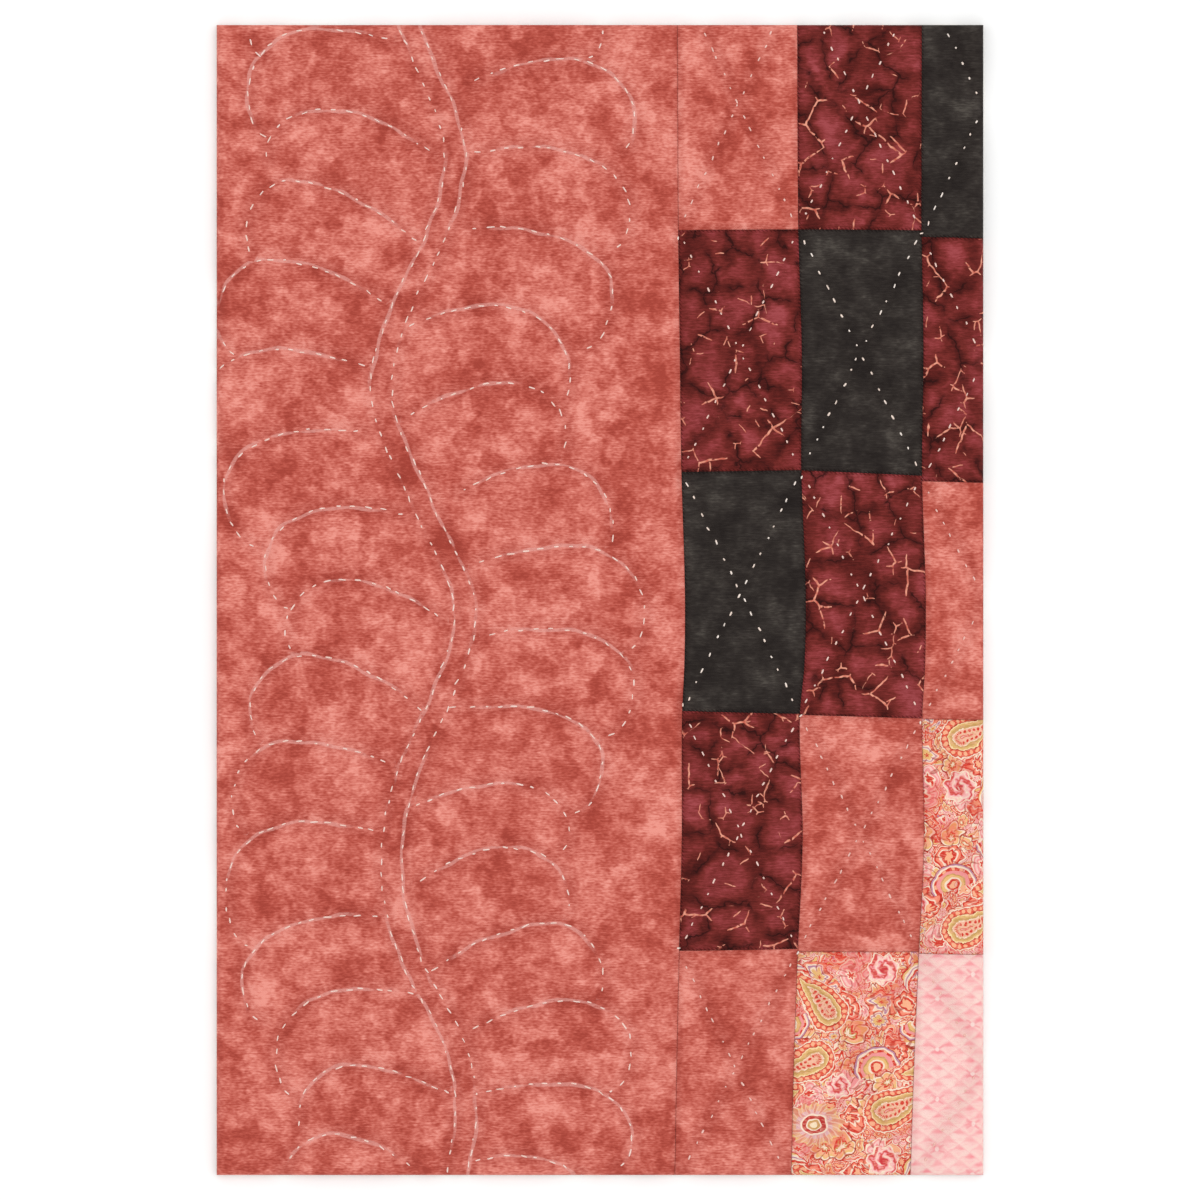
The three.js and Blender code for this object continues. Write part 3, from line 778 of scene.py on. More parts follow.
threads = []
for name, chosen, thread in (("vine_stitches", quilting[:34], VINE_THREAD),
                             ("cross_stitches", quilting[34:], CROSS_THREAD)):
    found = [stitch_middles(sewn["line"], sewn["marks"]) for sewn in chosen]
    middle = np.concatenate([middles for middles, _ in found])
    half = np.concatenate([halves for _, halves in found])
    radius = thread * (1 + hand.normal(0, 0.1, len(middle)).clip(-0.25, 0.3))
    tints = np.concatenate([np.full(len(middles), TINTS[sewn["ground"]]) for sewn, (middles, _) in zip(chosen, found)])
    threads.append(thread_beads(name, middle, half, radius, tints))
    print(name + ":", len(middle))

# %% [markdown]
# ## Tacks at the seams
# Where seams meet, a bit of pale hand-sewing thread shows: a few short stitches that lie square to the seam. There
# are only a handful, so they stand in a table: place and direction.

# %% Tacks
TACKS = np.array([
    [25.9, -32.8, 90],
    [62.8, -36.2, 40],
    [100.6, 114.7, 15],
    [63.1, 38.4, 70],
    [24.6, -108.9, 5],
    [61.9, -110.4, 60],
    [100.2, -38.4, 90],
    [24.4, 113.2, 88],
])
TACK_HALF = 0.6
tack_turn = np.radians(TACKS[:, 2])
tack_half = TACK_HALF * np.column_stack([np.cos(tack_turn), np.sin(tack_turn)])
tack_radius = np.full(len(TACKS), VINE_THREAD)
threads.append(thread_beads("seam_tacks", TACKS[:, :2], tack_half, tack_radius, np.zeros(len(TACKS))))
print("tacks:", len(TACKS))

# %% [markdown]
# ## Shader sums in Python
# A print is a formula of the place on the cloth. Written as Math nodes by hand, such a formula is unreadable, so a
# small class wraps a socket: every operator on it adds one Math node, and the formula stays a line of Python.


# %% A wire that adds up, and a recipe that adds nodes
class Wire:
    """One output of a node. An operator on it adds the Math node that works it out."""

    def __init__(self, recipe, socket):
        self.recipe = recipe
        self.socket = socket

    def __add__(self, other):
        return self.recipe.maths("ADD", self, other)

    def __radd__(self, other):
        return self.recipe.maths("ADD", other, self)

    def __sub__(self, other):
        return self.recipe.maths("SUBTRACT", self, other)

    def __rsub__(self, other):
        return self.recipe.maths("SUBTRACT", other, self)

    def __mul__(self, other):
        return self.recipe.maths("MULTIPLY", self, other)

    def __rmul__(self, other):
        return self.recipe.maths("MULTIPLY", other, self)

    def __truediv__(self, other):
        return self.recipe.maths("DIVIDE", self, other)

    def __rtruediv__(self, other):
        return self.recipe.maths("DIVIDE", other, self)

    def output(self, name):
        """Another output of the same node."""
        return Wire(self.recipe, self.socket.node.outputs[name])


class Recipe:
    """A material being mixed. Every node but the Math nodes of a sum comes from node()."""

    def __init__(self, name):
        self.material = bpy.data.materials.new(name)
        self.material.use_nodes = True
        self.tree = self.material.node_tree
        self.tree.nodes.clear()

    def node(self, kind, settings=None, sockets=None, output=0):
        """Adds a node: its settings first, such as an operation or a ramp's stops, then its sockets."""
        made = self.tree.nodes.new("ShaderNode" + kind)
        for name, value in (settings or {}).items():
            if name == "stops":
                fill_ramp(made.color_ramp, value)
            else:
                setattr(made, name, value)
        for key, value in (sockets or {}).items():
            if isinstance(value, Wire):
                self.tree.links.new(value.socket, made.inputs[key])
            else:
                made.inputs[key].default_value = value
        return Wire(self, made.outputs[output]) if made.outputs else None

    def maths(self, operation, *values):
        return self.node("Math", {"operation": operation}, dict(enumerate(values)))

    def vector(self, operation, *values):
        return self.node("VectorMath", {"operation": operation}, dict(enumerate(values)))

    def step(self, value, low, high):
        """A smooth step: 0 below low, 1 above high. With low above high it falls instead."""
        return self.node("MapRange", {"interpolation_type": "SMOOTHSTEP"},
                         {"Value": value, "From Min": low, "From Max": high})

    def blend(self, share, first, second):
        """The first colour where share is 0 and the second where it is 1."""
        return self.node("Mix", {"data_type": "RGBA"}, {0: share, 6: first, 7: second}, output=2)

    def ramp(self, value, stops, kind="LINEAR"):
        return self.node("ValToRGB", {"stops": (kind, stops)}, {0: value})

    def noise(self, where, grain, detail=0.0, roughness=0.5):
        """Smooth noise around 0 with lumps about as far apart as grain, in the units of where."""
        made = self.node("TexNoise", {"noise_dimensions": "2D"},
                         {"Vector": where, "Scale": 1 / grain, "Detail": detail, "Roughness": roughness})
        return made - 0.5


def fill_ramp(ramp, stops):
    """Sets the stops of a colour ramp from (kind, [(place, colour), ...])."""
    kind, colours = stops
    ramp.interpolation = kind
    while len(ramp.elements) < len(colours):
        ramp.elements.new(1.0)
    for element, (place, colour) in zip(ramp.elements, colours):
        element.position = place
        element.color = colour


# %% [markdown]
# ## Colours as a dyer names them
# The colours below are what the cloth looks like under this scene's light, in the 0 to 255 of a colour picker. A
# shader wants linear light, and the lamps give a bit more than one, so one function turns a seen colour into the
# colour of the dye. Without it each fabric would come out paler than it was mixed.

# %% From a seen colour to a dye
LIT = 1.13


def dye(red, green, blue):
    """Undo the screen's curve on each channel, then divide by the light that falls on the cloth."""
    seen = np.array([red, green, blue]) / 255
    linear = np.where(seen <= 0.04045, seen / 12.92, ((seen + 0.055) / 1.055) ** 2.4)
    return (*np.minimum(linear / LIT, 1.0).tolist(), 1.0)


print("coral dye:", [round(v, 3) for v in dye(206, 109, 96)])

# %% [markdown]
# ## What all the cottons share
# Every fabric here is a plain-woven quilting cotton, matte, with threads of 0.4 mm. The weave is a checkerboard of
# little cushions, the product of two sine waves, and it goes into the bump, because its bumps are finer than any
# mesh here. Along each seam the cloth dives down, and the shade of that dip is painted into the colour: painted
# shade with a notch where each sewing stitch pulls, and a faint painted shade in the furrows beside the stitches.

# %% Ground of a cotton
WEAVE = 0.8
WEAVE_RAISED = 0.035
SLUB_RAISED = 0.05
# Painted shade at the seams and in the furrows beside the stitches: the tint it multiplies in, the pitch of its notches
# along the seams, and its strength in the furrows
PAINTED_SHADE_TINT = (0.34, 0.18, 0.18, 1.0)
SHADE_TICK = 1.25
FURROW_SHADE = 0.09
COTTON_ROUGHNESS = 0.92
COTTON_SPECULAR = 0.12


def cloth_place(recipe):
    """The place on the flat cloth in millimetres, and its two parts."""
    metres = recipe.node("UVMap", {"uv_map": "cloth"})
    place = recipe.vector("SCALE", metres)
    place.socket.node.inputs["Scale"].default_value = 1 / MM
    parts = recipe.node("SeparateXYZ", sockets={0: place})
    return place, parts, parts.output("Y")


def attribute(recipe, name, part="Fac"):
    """A value or arrow that the mesh carries by name."""
    return recipe.node("Attribute", {"attribute_name": name}, output=2).output(part)


def length_of(recipe, a, b):
    """How long an arrow with those two parts is."""
    return recipe.maths("SQRT", a * a + b * b)


def stretched(recipe, x, y, across, upward):
    """A place whose two directions are divided by different lengths, for noise that is longer one way."""
    return recipe.node("CombineXYZ", sockets={0: x / across, 1: y / upward})


def weft_streaks(recipe, x, y):
    """Thicker and thinner threads: noise that is long across the cloth and short along it."""
    long = recipe.noise(stretched(recipe, x, y, 5.0, 0.5), 1.0, 1.0)
    short = recipe.noise(stretched(recipe, x, y, 1.6, 0.42), 1.0, 1.0)
    return long + short


def finish_cotton(recipe, colour, x, y, streaks, seam_shade, tick_shade):
    """Paints shade into the colour at the seams, with a notch at each sewing stitch, and a little beside the stitches,
    puts the weave and the slubs in the bump and closes the material."""
    # Painted shade: darkest within half a millimetre of a seam and notched along it, a faint wider band over the seam's
    # dip, and a faint band in the furrows within 4.6 mm of the stitches
    seam = attribute(recipe, "from_seam")
    wave = recipe.maths("SINE", (x + y) * (2 * math.pi / SHADE_TICK))
    ditch_shade = recipe.step(seam - wave * tick_shade, 0.52, 0.1)
    wide = recipe.step(seam, 2.4, 0.3)
    furrow_shade_mask = recipe.step(attribute(recipe, "from_stitches"), 4.6, 0.6)
    shade = ditch_shade * seam_shade + wide * 0.10 + furrow_shade_mask * FURROW_SHADE
    dark = recipe.node("Mix", {"data_type": "RGBA", "blend_type": "MULTIPLY"},
                       {0: shade, 6: colour, 7: PAINTED_SHADE_TINT}, output=2)
    over_under = recipe.maths("SINE", x * (2 * math.pi / WEAVE)) * recipe.maths("SINE", y * (2 * math.pi / WEAVE))
    raised = over_under * WEAVE_RAISED + streaks * SLUB_RAISED
    bump = recipe.node("Bump", sockets={"Height": raised, "Distance": MM, "Strength": 0.8})
    shader = recipe.node("BsdfPrincipled", sockets={
        "Base Color": dark,
        "Roughness": COTTON_ROUGHNESS,
        "Specular IOR Level": COTTON_SPECULAR,
        "Sheen Weight": 0.05,
        "Sheen Roughness": 0.5,
        "Normal": bump,
    })
    recipe.node("OutputMaterial", sockets={"Surface": shader})
    return recipe.material


# %% [markdown]
# ## Marbled coral cotton
# This fabric is printed to look hand-dyed: soft clouds of pale salmon over brick coral, with no edge anywhere, and
# fine level streaks where the dye follows the weft. Noises of several sizes are added with about equal weight,
# because the clouds are as strong in the small as in the large, and a ramp turns the sum into dye. On the border the
# chalky pencil line runs beside the stitches.

# %% Mix the coral
# Clouds: size, how much longer upward than across, and weight
CORAL_CLOUDS = ((22.0, 1.2, 0.60), (11.0, 1.0, 0.50), (5.0, 1.0, 0.30), (2.6, 0.8, 0.40), (1.2, 0.5, 0.52))
# Patches with a clearer edge: size, how far the pattern is moved, and how much lighter they are
CORAL_PATCHES = ((7.4, 37.0, 0.22), (10.5, 91.0, -0.21))
PATCH_EDGE = (0.0, 0.13)


def marbled_coral(name, with_pencil):
    """A ramp of coral over the sum of the clouds, the lighter and darker patches and the weft streaks."""
    recipe = Recipe(name)
    place, x, y = cloth_place(recipe)
    tone = 0.5
    for size, squash, weight in CORAL_CLOUDS:
        spot = stretched(recipe, x, y, size, size * squash)
        tone = tone + recipe.noise(spot, 1.0, 0.4) * weight
    for size, shift, lighter in CORAL_PATCHES:
        moved = recipe.vector("ADD", place, (shift, shift, 0.0))
        tone = tone + recipe.step(recipe.noise(moved, size, 2.2), *PATCH_EDGE) * lighter
    streaks = weft_streaks(recipe, x, y)
    tone = tone + streaks * 0.48
    colour = recipe.ramp(tone, [
        (0.00, dye(170, 68, 56)),
        (0.28, dye(190, 85, 72)),
        (0.50, dye(207, 106, 93)),
        (0.72, dye(225, 128, 114)),
        (1.00, dye(243, 155, 141)),
    ])
    if with_pencil:
        colour = pencilled(recipe, colour, place, x, y)
    return finish_cotton(recipe, colour, x, y, streaks, 0.16, 0.15)


def pencilled(recipe, colour, place, x, y):
    """The pencil line: where the arrow to the stitches, shifted by a slow wander, is shorter than half its width.
    The arrow turns over halfway between two lines, so it counts only where the stitches are really near. Chalk
    catches on the top of the threads, so a fine noise breaks it up."""
    arrow = recipe.node("Attribute", {"attribute_name": "to_stitches"}, output=1)
    wander = recipe.node("TexNoise", {"noise_dimensions": "2D"}, {"Vector": place, "Scale": 1 / 9.0, "Detail": 0.0},
                         output=1)
    shift = recipe.vector("SUBTRACT", wander, (0.5, 0.5, 0.5))
    shift = recipe.vector("MULTIPLY", shift, (1.7, 1.7, 0.0))
    off = recipe.node("VectorMath", {"operation": "LENGTH"}, {0: recipe.vector("ADD", arrow, shift)}, output=1)
    near_by = recipe.step(attribute(recipe, "from_stitches"), 2.2, 1.6)
    line = recipe.step(off, 0.78, 0.36) * near_by * attribute(recipe, "pencil")
    chalk = recipe.noise(stretched(recipe, x, y, 1.0, 0.45), 1.0, 1.0)
    line = line * (chalk * 1.3 + 0.8)
    return recipe.blend(recipe.step(line, 0.0, 0.9) * 0.56, colour, dye(242, 176, 166))


cloths["coral"][0].data.materials.append(marbled_coral("marbled_coral_pencilled", True))
plain_coral = marbled_coral("marbled_coral_cotton", False)
for piece in cloths["coral"][1:]:
    piece.data.materials.append(plain_coral)
print("coral pieces:", len(cloths["coral"]))

# %% [markdown]
# ## Burgundy crackle cotton
# A batik: wine-red cells with blurred dark veins between them, and thin salmon twigs where the wax cracked and kept
# the dye out. Cracks meet in threes, as the walls of a Voronoi pattern do, so both veins and twigs are such walls,
# bent by noise. A second noise decides where they are left, which breaks the walls up into short forked pieces.

# %% Mix the burgundy
VEIN_CELL = 13.5
VEIN_BEND = 4.4
TWIG_GRAIN = 3.4
TWIG_BEND = 1.15
# Each kind of twig: size of its cells, where its pattern starts, how long it runs, how rare it is, half its width
TWIGS = (
    (9.5, (4.0, 52.0, 0.0), 9.0, 0.080, 0.12),
    (6.2, (77.0, 13.0, 0.0), 6.5, 0.205, 0.09),
)


def bent_place(recipe, place, grain, bend, detail):
    """The place moved by up to half of bend in each direction by a colour noise."""
    push = recipe.node("TexNoise", {"noise_dimensions": "2D"},
                       {"Vector": place, "Scale": 1 / grain, "Detail": detail}, output=1)
    push = recipe.vector("SUBTRACT", push, (0.5, 0.5, 0.5))
    return recipe.vector("ADD", place, recipe.vector("MULTIPLY", push, (bend, bend, 0.0)))


def wall_distance(recipe, place, cell, seed_shift):
    """Millimetres from the nearest wall between Voronoi cells of that size."""
    moved = recipe.vector("ADD", place, seed_shift)
    made = recipe.node("TexVoronoi", {"voronoi_dimensions": "2D", "feature": "DISTANCE_TO_EDGE"},
                       {"Vector": moved, "Scale": 1 / cell})
    return made * cell


def burgundy_crackle():
    """Wine cells, then dark veins, then salmon twigs laid over them."""
    recipe = Recipe("burgundy_crackle_cotton")
    place, x, y = cloth_place(recipe)
    streaks = weft_streaks(recipe, x, y)
    veined = bent_place(recipe, bent_place(recipe, place, 4.6, VEIN_BEND, 2.0), 1.3, 0.9, 0.0)
    wall = wall_distance(recipe, veined, VEIN_CELL, (31.0, 7.0, 0.0))
    tone = 0.39 + recipe.noise(place, 15.0, 0.5) * 0.7 + recipe.noise(place, 6.0, 1.0) * 0.55
    tone = tone + recipe.step(wall, 0.6, 4.2) * 0.32
    tone = tone + recipe.noise(stretched(recipe, x, y, 2.6, 1.6), 1.0, 1.0) * 0.22 + streaks * 0.42
    colour = recipe.ramp(tone, [
        (0.0, dye(70, 19, 16)),
        (0.3, dye(97, 31, 27)),
        (0.55, dye(119, 42, 38)),
        (0.8, dye(146, 57, 58)),
        (1.0, dye(166, 74, 78)),
    ])
    vein_left = recipe.step(recipe.noise(place, 8.0, 1.0), -0.15, 0.07)
    blurred = recipe.step(wall, 2.0, 0.2) * vein_left * 0.48
    core = recipe.step(wall, 0.44, 0.14) * vein_left * 0.90
    colour = recipe.blend(recipe.maths("MAXIMUM", blurred, core), colour, dye(44, 10, 9))
    twigs = 0.0
    crooked = bent_place(recipe, place, TWIG_GRAIN, TWIG_BEND, 1.5)
    for cell, shift, run, least, half_width in TWIGS:
        wall = wall_distance(recipe, crooked, cell, shift)
        left = recipe.noise(recipe.vector("ADD", place, shift), run)
        swell = recipe.step(left, least, least + 0.14) * half_width
        line = recipe.step(wall - swell, half_width + 0.10, half_width - 0.04) * recipe.step(left, least, least + 0.02)
        twigs = recipe.maths("MAXIMUM", line, twigs)
    worn = recipe.step(recipe.noise(place, 1.6, 1.0), -0.20, -0.10)
    pale = recipe.ramp(recipe.noise(place, 1.4) + 0.5, [(0.2, dye(206, 104, 86)), (0.7, dye(246, 168, 142))])
    colour = recipe.blend(twigs * worn * 0.95, colour, pale)
    return finish_cotton(recipe, colour, x, y, streaks, 0.60, 0.50)


burgundy = burgundy_crackle()
for piece in cloths["burgundy"]:
    piece.data.materials.append(burgundy)
print("burgundy pieces:", len(cloths["burgundy"]))

# %% [markdown]
# ## Black cotton
# The black isn't even: faint smoky clouds of grey and olive lie over a warm charcoal. It stays within a narrow range,
# because black dye shows only as slightly different depths.

# %% Mix the black


def smoky_black():
    """Charcoal with two sizes of smudge, the larger ones a bit olive."""
    recipe = Recipe("black_cotton")
    place, x, y = cloth_place(recipe)
    streaks = weft_streaks(recipe, x, y)
    tone = 0.44 + recipe.noise(place, 13.0, 0.5) * 0.8 + recipe.noise(place, 5.5, 1.0) * 0.8
    tone = tone + recipe.noise(stretched(recipe, x, y, 2.4, 1.4), 1.0, 1.0) * 0.45 + streaks * 0.5
    colour = recipe.ramp(tone, [
        (0.0, dye(36, 30, 28)),
        (0.40, dye(47, 41, 38)),
        (0.70, dye(60, 54, 50)),
        (1.0, dye(82, 76, 70)),
    ])
    return finish_cotton(recipe, colour, x, y, streaks, 0.60, 0.50)


black = smoky_black()
for piece in cloths["black"]:
    piece.data.materials.append(black)
print("black pieces:", len(cloths["black"]))

# %% [markdown]
# ## Pink cotton with little fans
# A tone-on-tone print: rows of small fans, each row moved half a fan along, with a shaded cap at the top of each, and
# here and there a flower of four crossed petals. The pattern is worked out from the place within one fan, so it
# never runs out. Modulo gives that place, and every other row gets half a width of shift.

# %% Mix the pink
FAN_WIDTH = 6.6
FAN_HEIGHT = 2.5
CAP_HALF = 0.64
CAP_DEEP = 0.74
FLOWER_ACROSS = 11.1
FLOWER_UPWARD = 15.6


def pink_fans():
    """The place within a fan gives its cap: a low triangle, darkest at its foot. Every other row moves half a fan.
    Flowers stand on a grid of their own whose every other column moves half way up. Round each one the ground is
    pinker, by the distance that grows along both directions at once, so that the print falls into diamonds."""
    recipe = Recipe("pink_scallop_cotton")
    place, x, y = cloth_place(recipe)
    streaks = weft_streaks(recipe, x, y)
    wander = recipe.noise(place, 3.0, 1.0)
    rise = (y + wander * 1.1) / FAN_HEIGHT
    row = recipe.maths("FLOOR", rise)
    odd = recipe.maths("FLOORED_MODULO", row, 2.0)
    across = recipe.maths("FLOORED_MODULO", (x - wander * 0.9) / FAN_WIDTH + odd * 0.5, 1.0) * 2 - 1
    side = recipe.maths("ABSOLUTE", across)
    depth = 1 - (rise - row)
    roof = depth / CAP_DEEP - side / CAP_HALF
    cap = recipe.step(roof, -0.10, 0.30) * recipe.step(depth, CAP_DEEP + 0.18, CAP_DEEP - 0.24)
    cap = cap * (recipe.step(depth, 0.0, CAP_DEEP) * 0.4 + 0.6)
    lattice = recipe.step(recipe.maths("ABSOLUTE", roof), 0.20, 0.02)
    below = recipe.step(recipe.maths("ABSOLUTE", roof + 0.55), 0.5, 0.0)

    column = recipe.maths("FLOORED_MODULO", recipe.maths("FLOOR", x / FLOWER_ACROSS), 2.0)
    flower_x = (recipe.maths("FLOORED_MODULO", x / FLOWER_ACROSS, 1.0) - 0.5) * FLOWER_ACROSS
    flower_y = (recipe.maths("FLOORED_MODULO", y / FLOWER_UPWARD + column * 0.5, 1.0) - 0.5) * FLOWER_UPWARD
    out_x = recipe.maths("ABSOLUTE", flower_x + wander * 0.8)
    out_y = recipe.maths("ABSOLUTE", flower_y + wander * 0.8)
    radius = length_of(recipe, out_x, out_y)
    petals = recipe.step(recipe.maths("ABSOLUTE", out_x * 0.62 - out_y), 0.62, 0.15)
    bloom = petals * recipe.step(radius, 2.9, 2.1) * recipe.step(radius, 0.4, 0.9)
    diamond = out_x / FLOWER_ACROSS + out_y / FLOWER_UPWARD
    near_flower = recipe.step(diamond, 0.62, 0.22)

    ground = recipe.blend(recipe.noise(place, 5.0, 2.0) * 1.6 + 0.5, dye(255, 200, 196), dye(255, 221, 213))
    colour = recipe.blend(near_flower * 0.45, ground, dye(255, 190, 190))
    colour = recipe.blend(below * 0.50, colour, dye(255, 224, 211))
    colour = recipe.blend(lattice * 0.24, colour, dye(252, 168, 172))
    strength = recipe.noise(place, 5.0, 1.0) * 1.5 + 0.60 + near_flower * 0.2
    colour = recipe.blend(recipe.maths("MINIMUM", cap * strength, 1.0), colour, dye(252, 154, 160))
    colour = recipe.blend(bloom * 0.62, colour, dye(247, 152, 158))
    colour = recipe.blend(recipe.step(radius, 0.85, 0.45) * 0.8, colour, dye(255, 230, 222))
    colour = recipe.blend(recipe.step(streaks, 0.02, 0.3) * 0.22, colour, dye(246, 168, 166))
    return finish_cotton(recipe, colour, x, y, streaks, 0.10, 0.05)


pink = pink_fans()
for piece in cloths["pink"]:
    piece.data.materials.append(pink)
print("pink pieces:", len(cloths["pink"]))

# %% [markdown]
# ## Paisley cotton
# A close paisley: leaf-shaped drops edged with beads, a daisy, a rose, a curl and a crescent, on a ground of tiny
# scrolls. Each motif is a formula for how far a point lies from its outline, and a colour ramp over that distance
# draws all its rings at once. The motifs are listed one by one in one repeat, and modulo lays it end to end.
# An image would be easier, but a formula stays sharp at any size and copies nobody's drawing.

# %% The place within the repeat
REPEAT_ACROSS = 40.0
REPEAT_UPWARD = 60.0
CREAM = dye(255, 232, 208)
PEACH = dye(255, 184, 142)
SALMON = dye(252, 144, 116)
RED = dye(218, 62, 48)
BRICK = dye(172, 56, 42)
OLIVE = dye(242, 194, 124)
MOSS = dye(208, 162, 96)
ROSE = dye(248, 156, 156)
VIOLET = dye(190, 138, 166)


def from_middle(recipe, x, y, across, upward, degrees=0.0):
    """The place relative to a motif's middle, wrapped so that the motif runs on over the repeat's edges, and turned
    so that the first part runs along the motif."""
    right = recipe.maths("FLOORED_MODULO", x + (REPEAT_ACROSS / 2 - across), REPEAT_ACROSS) - REPEAT_ACROSS / 2
    up = recipe.maths("FLOORED_MODULO", y + (REPEAT_UPWARD / 2 - upward), REPEAT_UPWARD) - REPEAT_UPWARD / 2
    if degrees == 0.0:
        return right, up
    cos = math.cos(math.radians(degrees))
    sin = math.sin(math.radians(degrees))
    return right * cos + up * sin, up * cos - right * sin


# %% [markdown]
# ### The beaded drop
# The drop is a disc that runs out into a leaf's point. Along its axis the half width is the disc's radius times a
# taper from 1 to 0, and the axis itself may bend. Before the disc's middle and past the tip the distance is measured
# round the end instead.

# %% A drop with rings and beads
DROP_RINGS = [
    (-6.0, dye(250, 186, 176)),
    (-4.3, dye(228, 112, 96)),
    (-3.95, dye(250, 192, 164)),
    (-2.0, CREAM),
    (-1.75, dye(206, 162, 98)),
    (-1.1, dye(228, 186, 116)),
    (-0.5, dye(255, 224, 170)),
    (-0.12, BRICK),
    (0.1, dye(230, 88, 66)),
    (1.65, dye(196, 66, 50)),
    (1.8, CREAM),
    (2.2, dye(236, 120, 96)),
]
RING_SPAN = 10.0
BEAD_PITCH = 1.9
BEAD_LINE = 0.88
SEED_PITCH = 1.5
SEED_LINE = -2.75


def rings(recipe, distance, table):
    """A ramp with hard steps over a distance in millimetres, from -6 to 4."""
    stops = [((place + 6.0) / RING_SPAN, colour) for place, colour in table]
    return recipe.ramp((distance + 6.0) / RING_SPAN, stops, "CONSTANT")


def beads(recipe, along, off, pitch, half_width):
    """Round dots in a row: the sum of a cosine along the row and one across it, cut off near its top."""
    wave = recipe.maths("COSINE", along * (2 * math.pi / pitch))
    arch = recipe.maths("COSINE", recipe.maths("MINIMUM", recipe.maths("ABSOLUTE", off) * (math.pi / 2 / half_width), 3.1))
    return recipe.step(wave * 0.5 + arch, 0.62, 0.86)


def beaded_drop(recipe, colour, x, y, across, upward, degrees, radius, tail, bend):
    """Draws one drop over a colour: rings by distance from its outline, beads outside it and seeds inside."""
    along, side = from_middle(recipe, x, y, across, upward, degrees)
    q = recipe.maths("MINIMUM", recipe.maths("MAXIMUM", along / tail, 0.0), 1.0)
    side = side - q * q * bend
    past = recipe.maths("MINIMUM", along, 0.0) + recipe.maths("MAXIMUM", along - tail, 0.0)
    taper = (1 - q) * (1 + q * 0.9)
    distance = length_of(recipe, past, side) - taper * radius
    speckle = recipe.noise(recipe.node("CombineXYZ", sockets={0: along, 1: side}), 0.75, 1.0)
    drawn = rings(recipe, distance + speckle * 0.7, DROP_RINGS)
    mottle = recipe.step(speckle, 0.02, 0.16) * recipe.step(distance, -0.9, -1.3)
    drawn = recipe.blend(mottle * 0.60, drawn, MOSS)
    round_end = recipe.maths("ARCTAN2", recipe.maths("MINIMUM", along, 0.0), recipe.maths("ABSOLUTE", side) + 0.05)
    walk = recipe.maths("MAXIMUM", along, 0.0) + round_end * (radius + 1.0)
    drawn = recipe.blend(beads(recipe, walk, distance - BEAD_LINE, BEAD_PITCH, 0.76), drawn, PEACH)
    drawn = recipe.blend(beads(recipe, walk, distance - SEED_LINE, SEED_PITCH, 0.62), drawn, RED)
    return recipe.blend(recipe.step(distance, 2.42, 2.3), colour, drawn)


# %% [markdown]
# ### Flowers, curl and crescent
# The smaller motifs use the same trick with simpler distances: a flattened circle for the daisy, a spiral for the
# rose, half rings for the curl, and one disc less another for the crescent.

# %% The smaller motifs


def daisy(recipe, colour, x, y, across, upward):
    """Rings of a flattened circle. Outside the eye two waves of the angle part the petals, whose tips are cut by
    the same waves."""
    right, up = from_middle(recipe, x, y, across, upward)
    distance = length_of(recipe, right, up * 1.3) * 0.84
    angle = recipe.maths("ARCTAN2", up, right)
    petals = recipe.maths("SINE", angle * 13)
    fine = recipe.maths("SINE", angle * 29 + distance * 2.0)
    drawn = recipe.ramp(distance / 10.0, [
        (0.0, dye(255, 236, 200)),
        (0.09, MOSS),
        (0.16, CREAM),
        (0.20, dye(196, 60, 56)),
        (0.32, CREAM),
        (0.37, dye(232, 182, 186)),
        (0.50, dye(238, 178, 140)),
        (0.64, OLIVE),
    ], "CONSTANT")
    outside = recipe.step(distance, 3.7, 4.1)
    drawn = recipe.blend(recipe.step(petals, 0.1, 0.5) * outside * 0.75, drawn, dye(224, 128, 110))
    drawn = recipe.blend(recipe.step(fine, 0.4, 0.8) * outside * 0.6, drawn, dye(250, 215, 190))
    return recipe.blend(recipe.step(distance - petals * 0.6, 7.4, 7.2), colour, drawn)


def rose(recipe, colour, x, y, across, upward, size):
    """Petals as two arms of a spiral that a noise breaks up, paler outwards, with a red heart."""
    right, up = from_middle(recipe, x, y, across, upward)
    distance = length_of(recipe, right, up)
    angle = recipe.maths("ARCTAN2", up, right)
    broken = recipe.noise(recipe.node("CombineXYZ", sockets={0: right, 1: up}), 1.8, 1.0)
    turns = recipe.maths("SINE", distance * (11.0 / size) + angle * 2 + broken * 7.0)
    drawn = recipe.blend(recipe.step(turns, -0.4, 0.4), dye(255, 200, 194), dye(247, 150, 156))
    drawn = recipe.blend(recipe.step(turns, 0.50, 0.80), drawn, dye(220, 84, 80))
    drawn = recipe.blend(recipe.step(turns, -0.85, -0.98), drawn, CREAM)
    drawn = recipe.blend(recipe.step(distance + broken, 0.28 * size, 0.18 * size), drawn, dye(212, 62, 66))
    scallop = recipe.maths("SINE", angle * 7) * 0.4
    edge = distance - scallop + broken
    drawn = recipe.blend(recipe.step(edge, size - 0.5, size - 0.35), drawn, CREAM)
    return recipe.blend(recipe.step(edge, size, size - 0.12), colour, drawn)


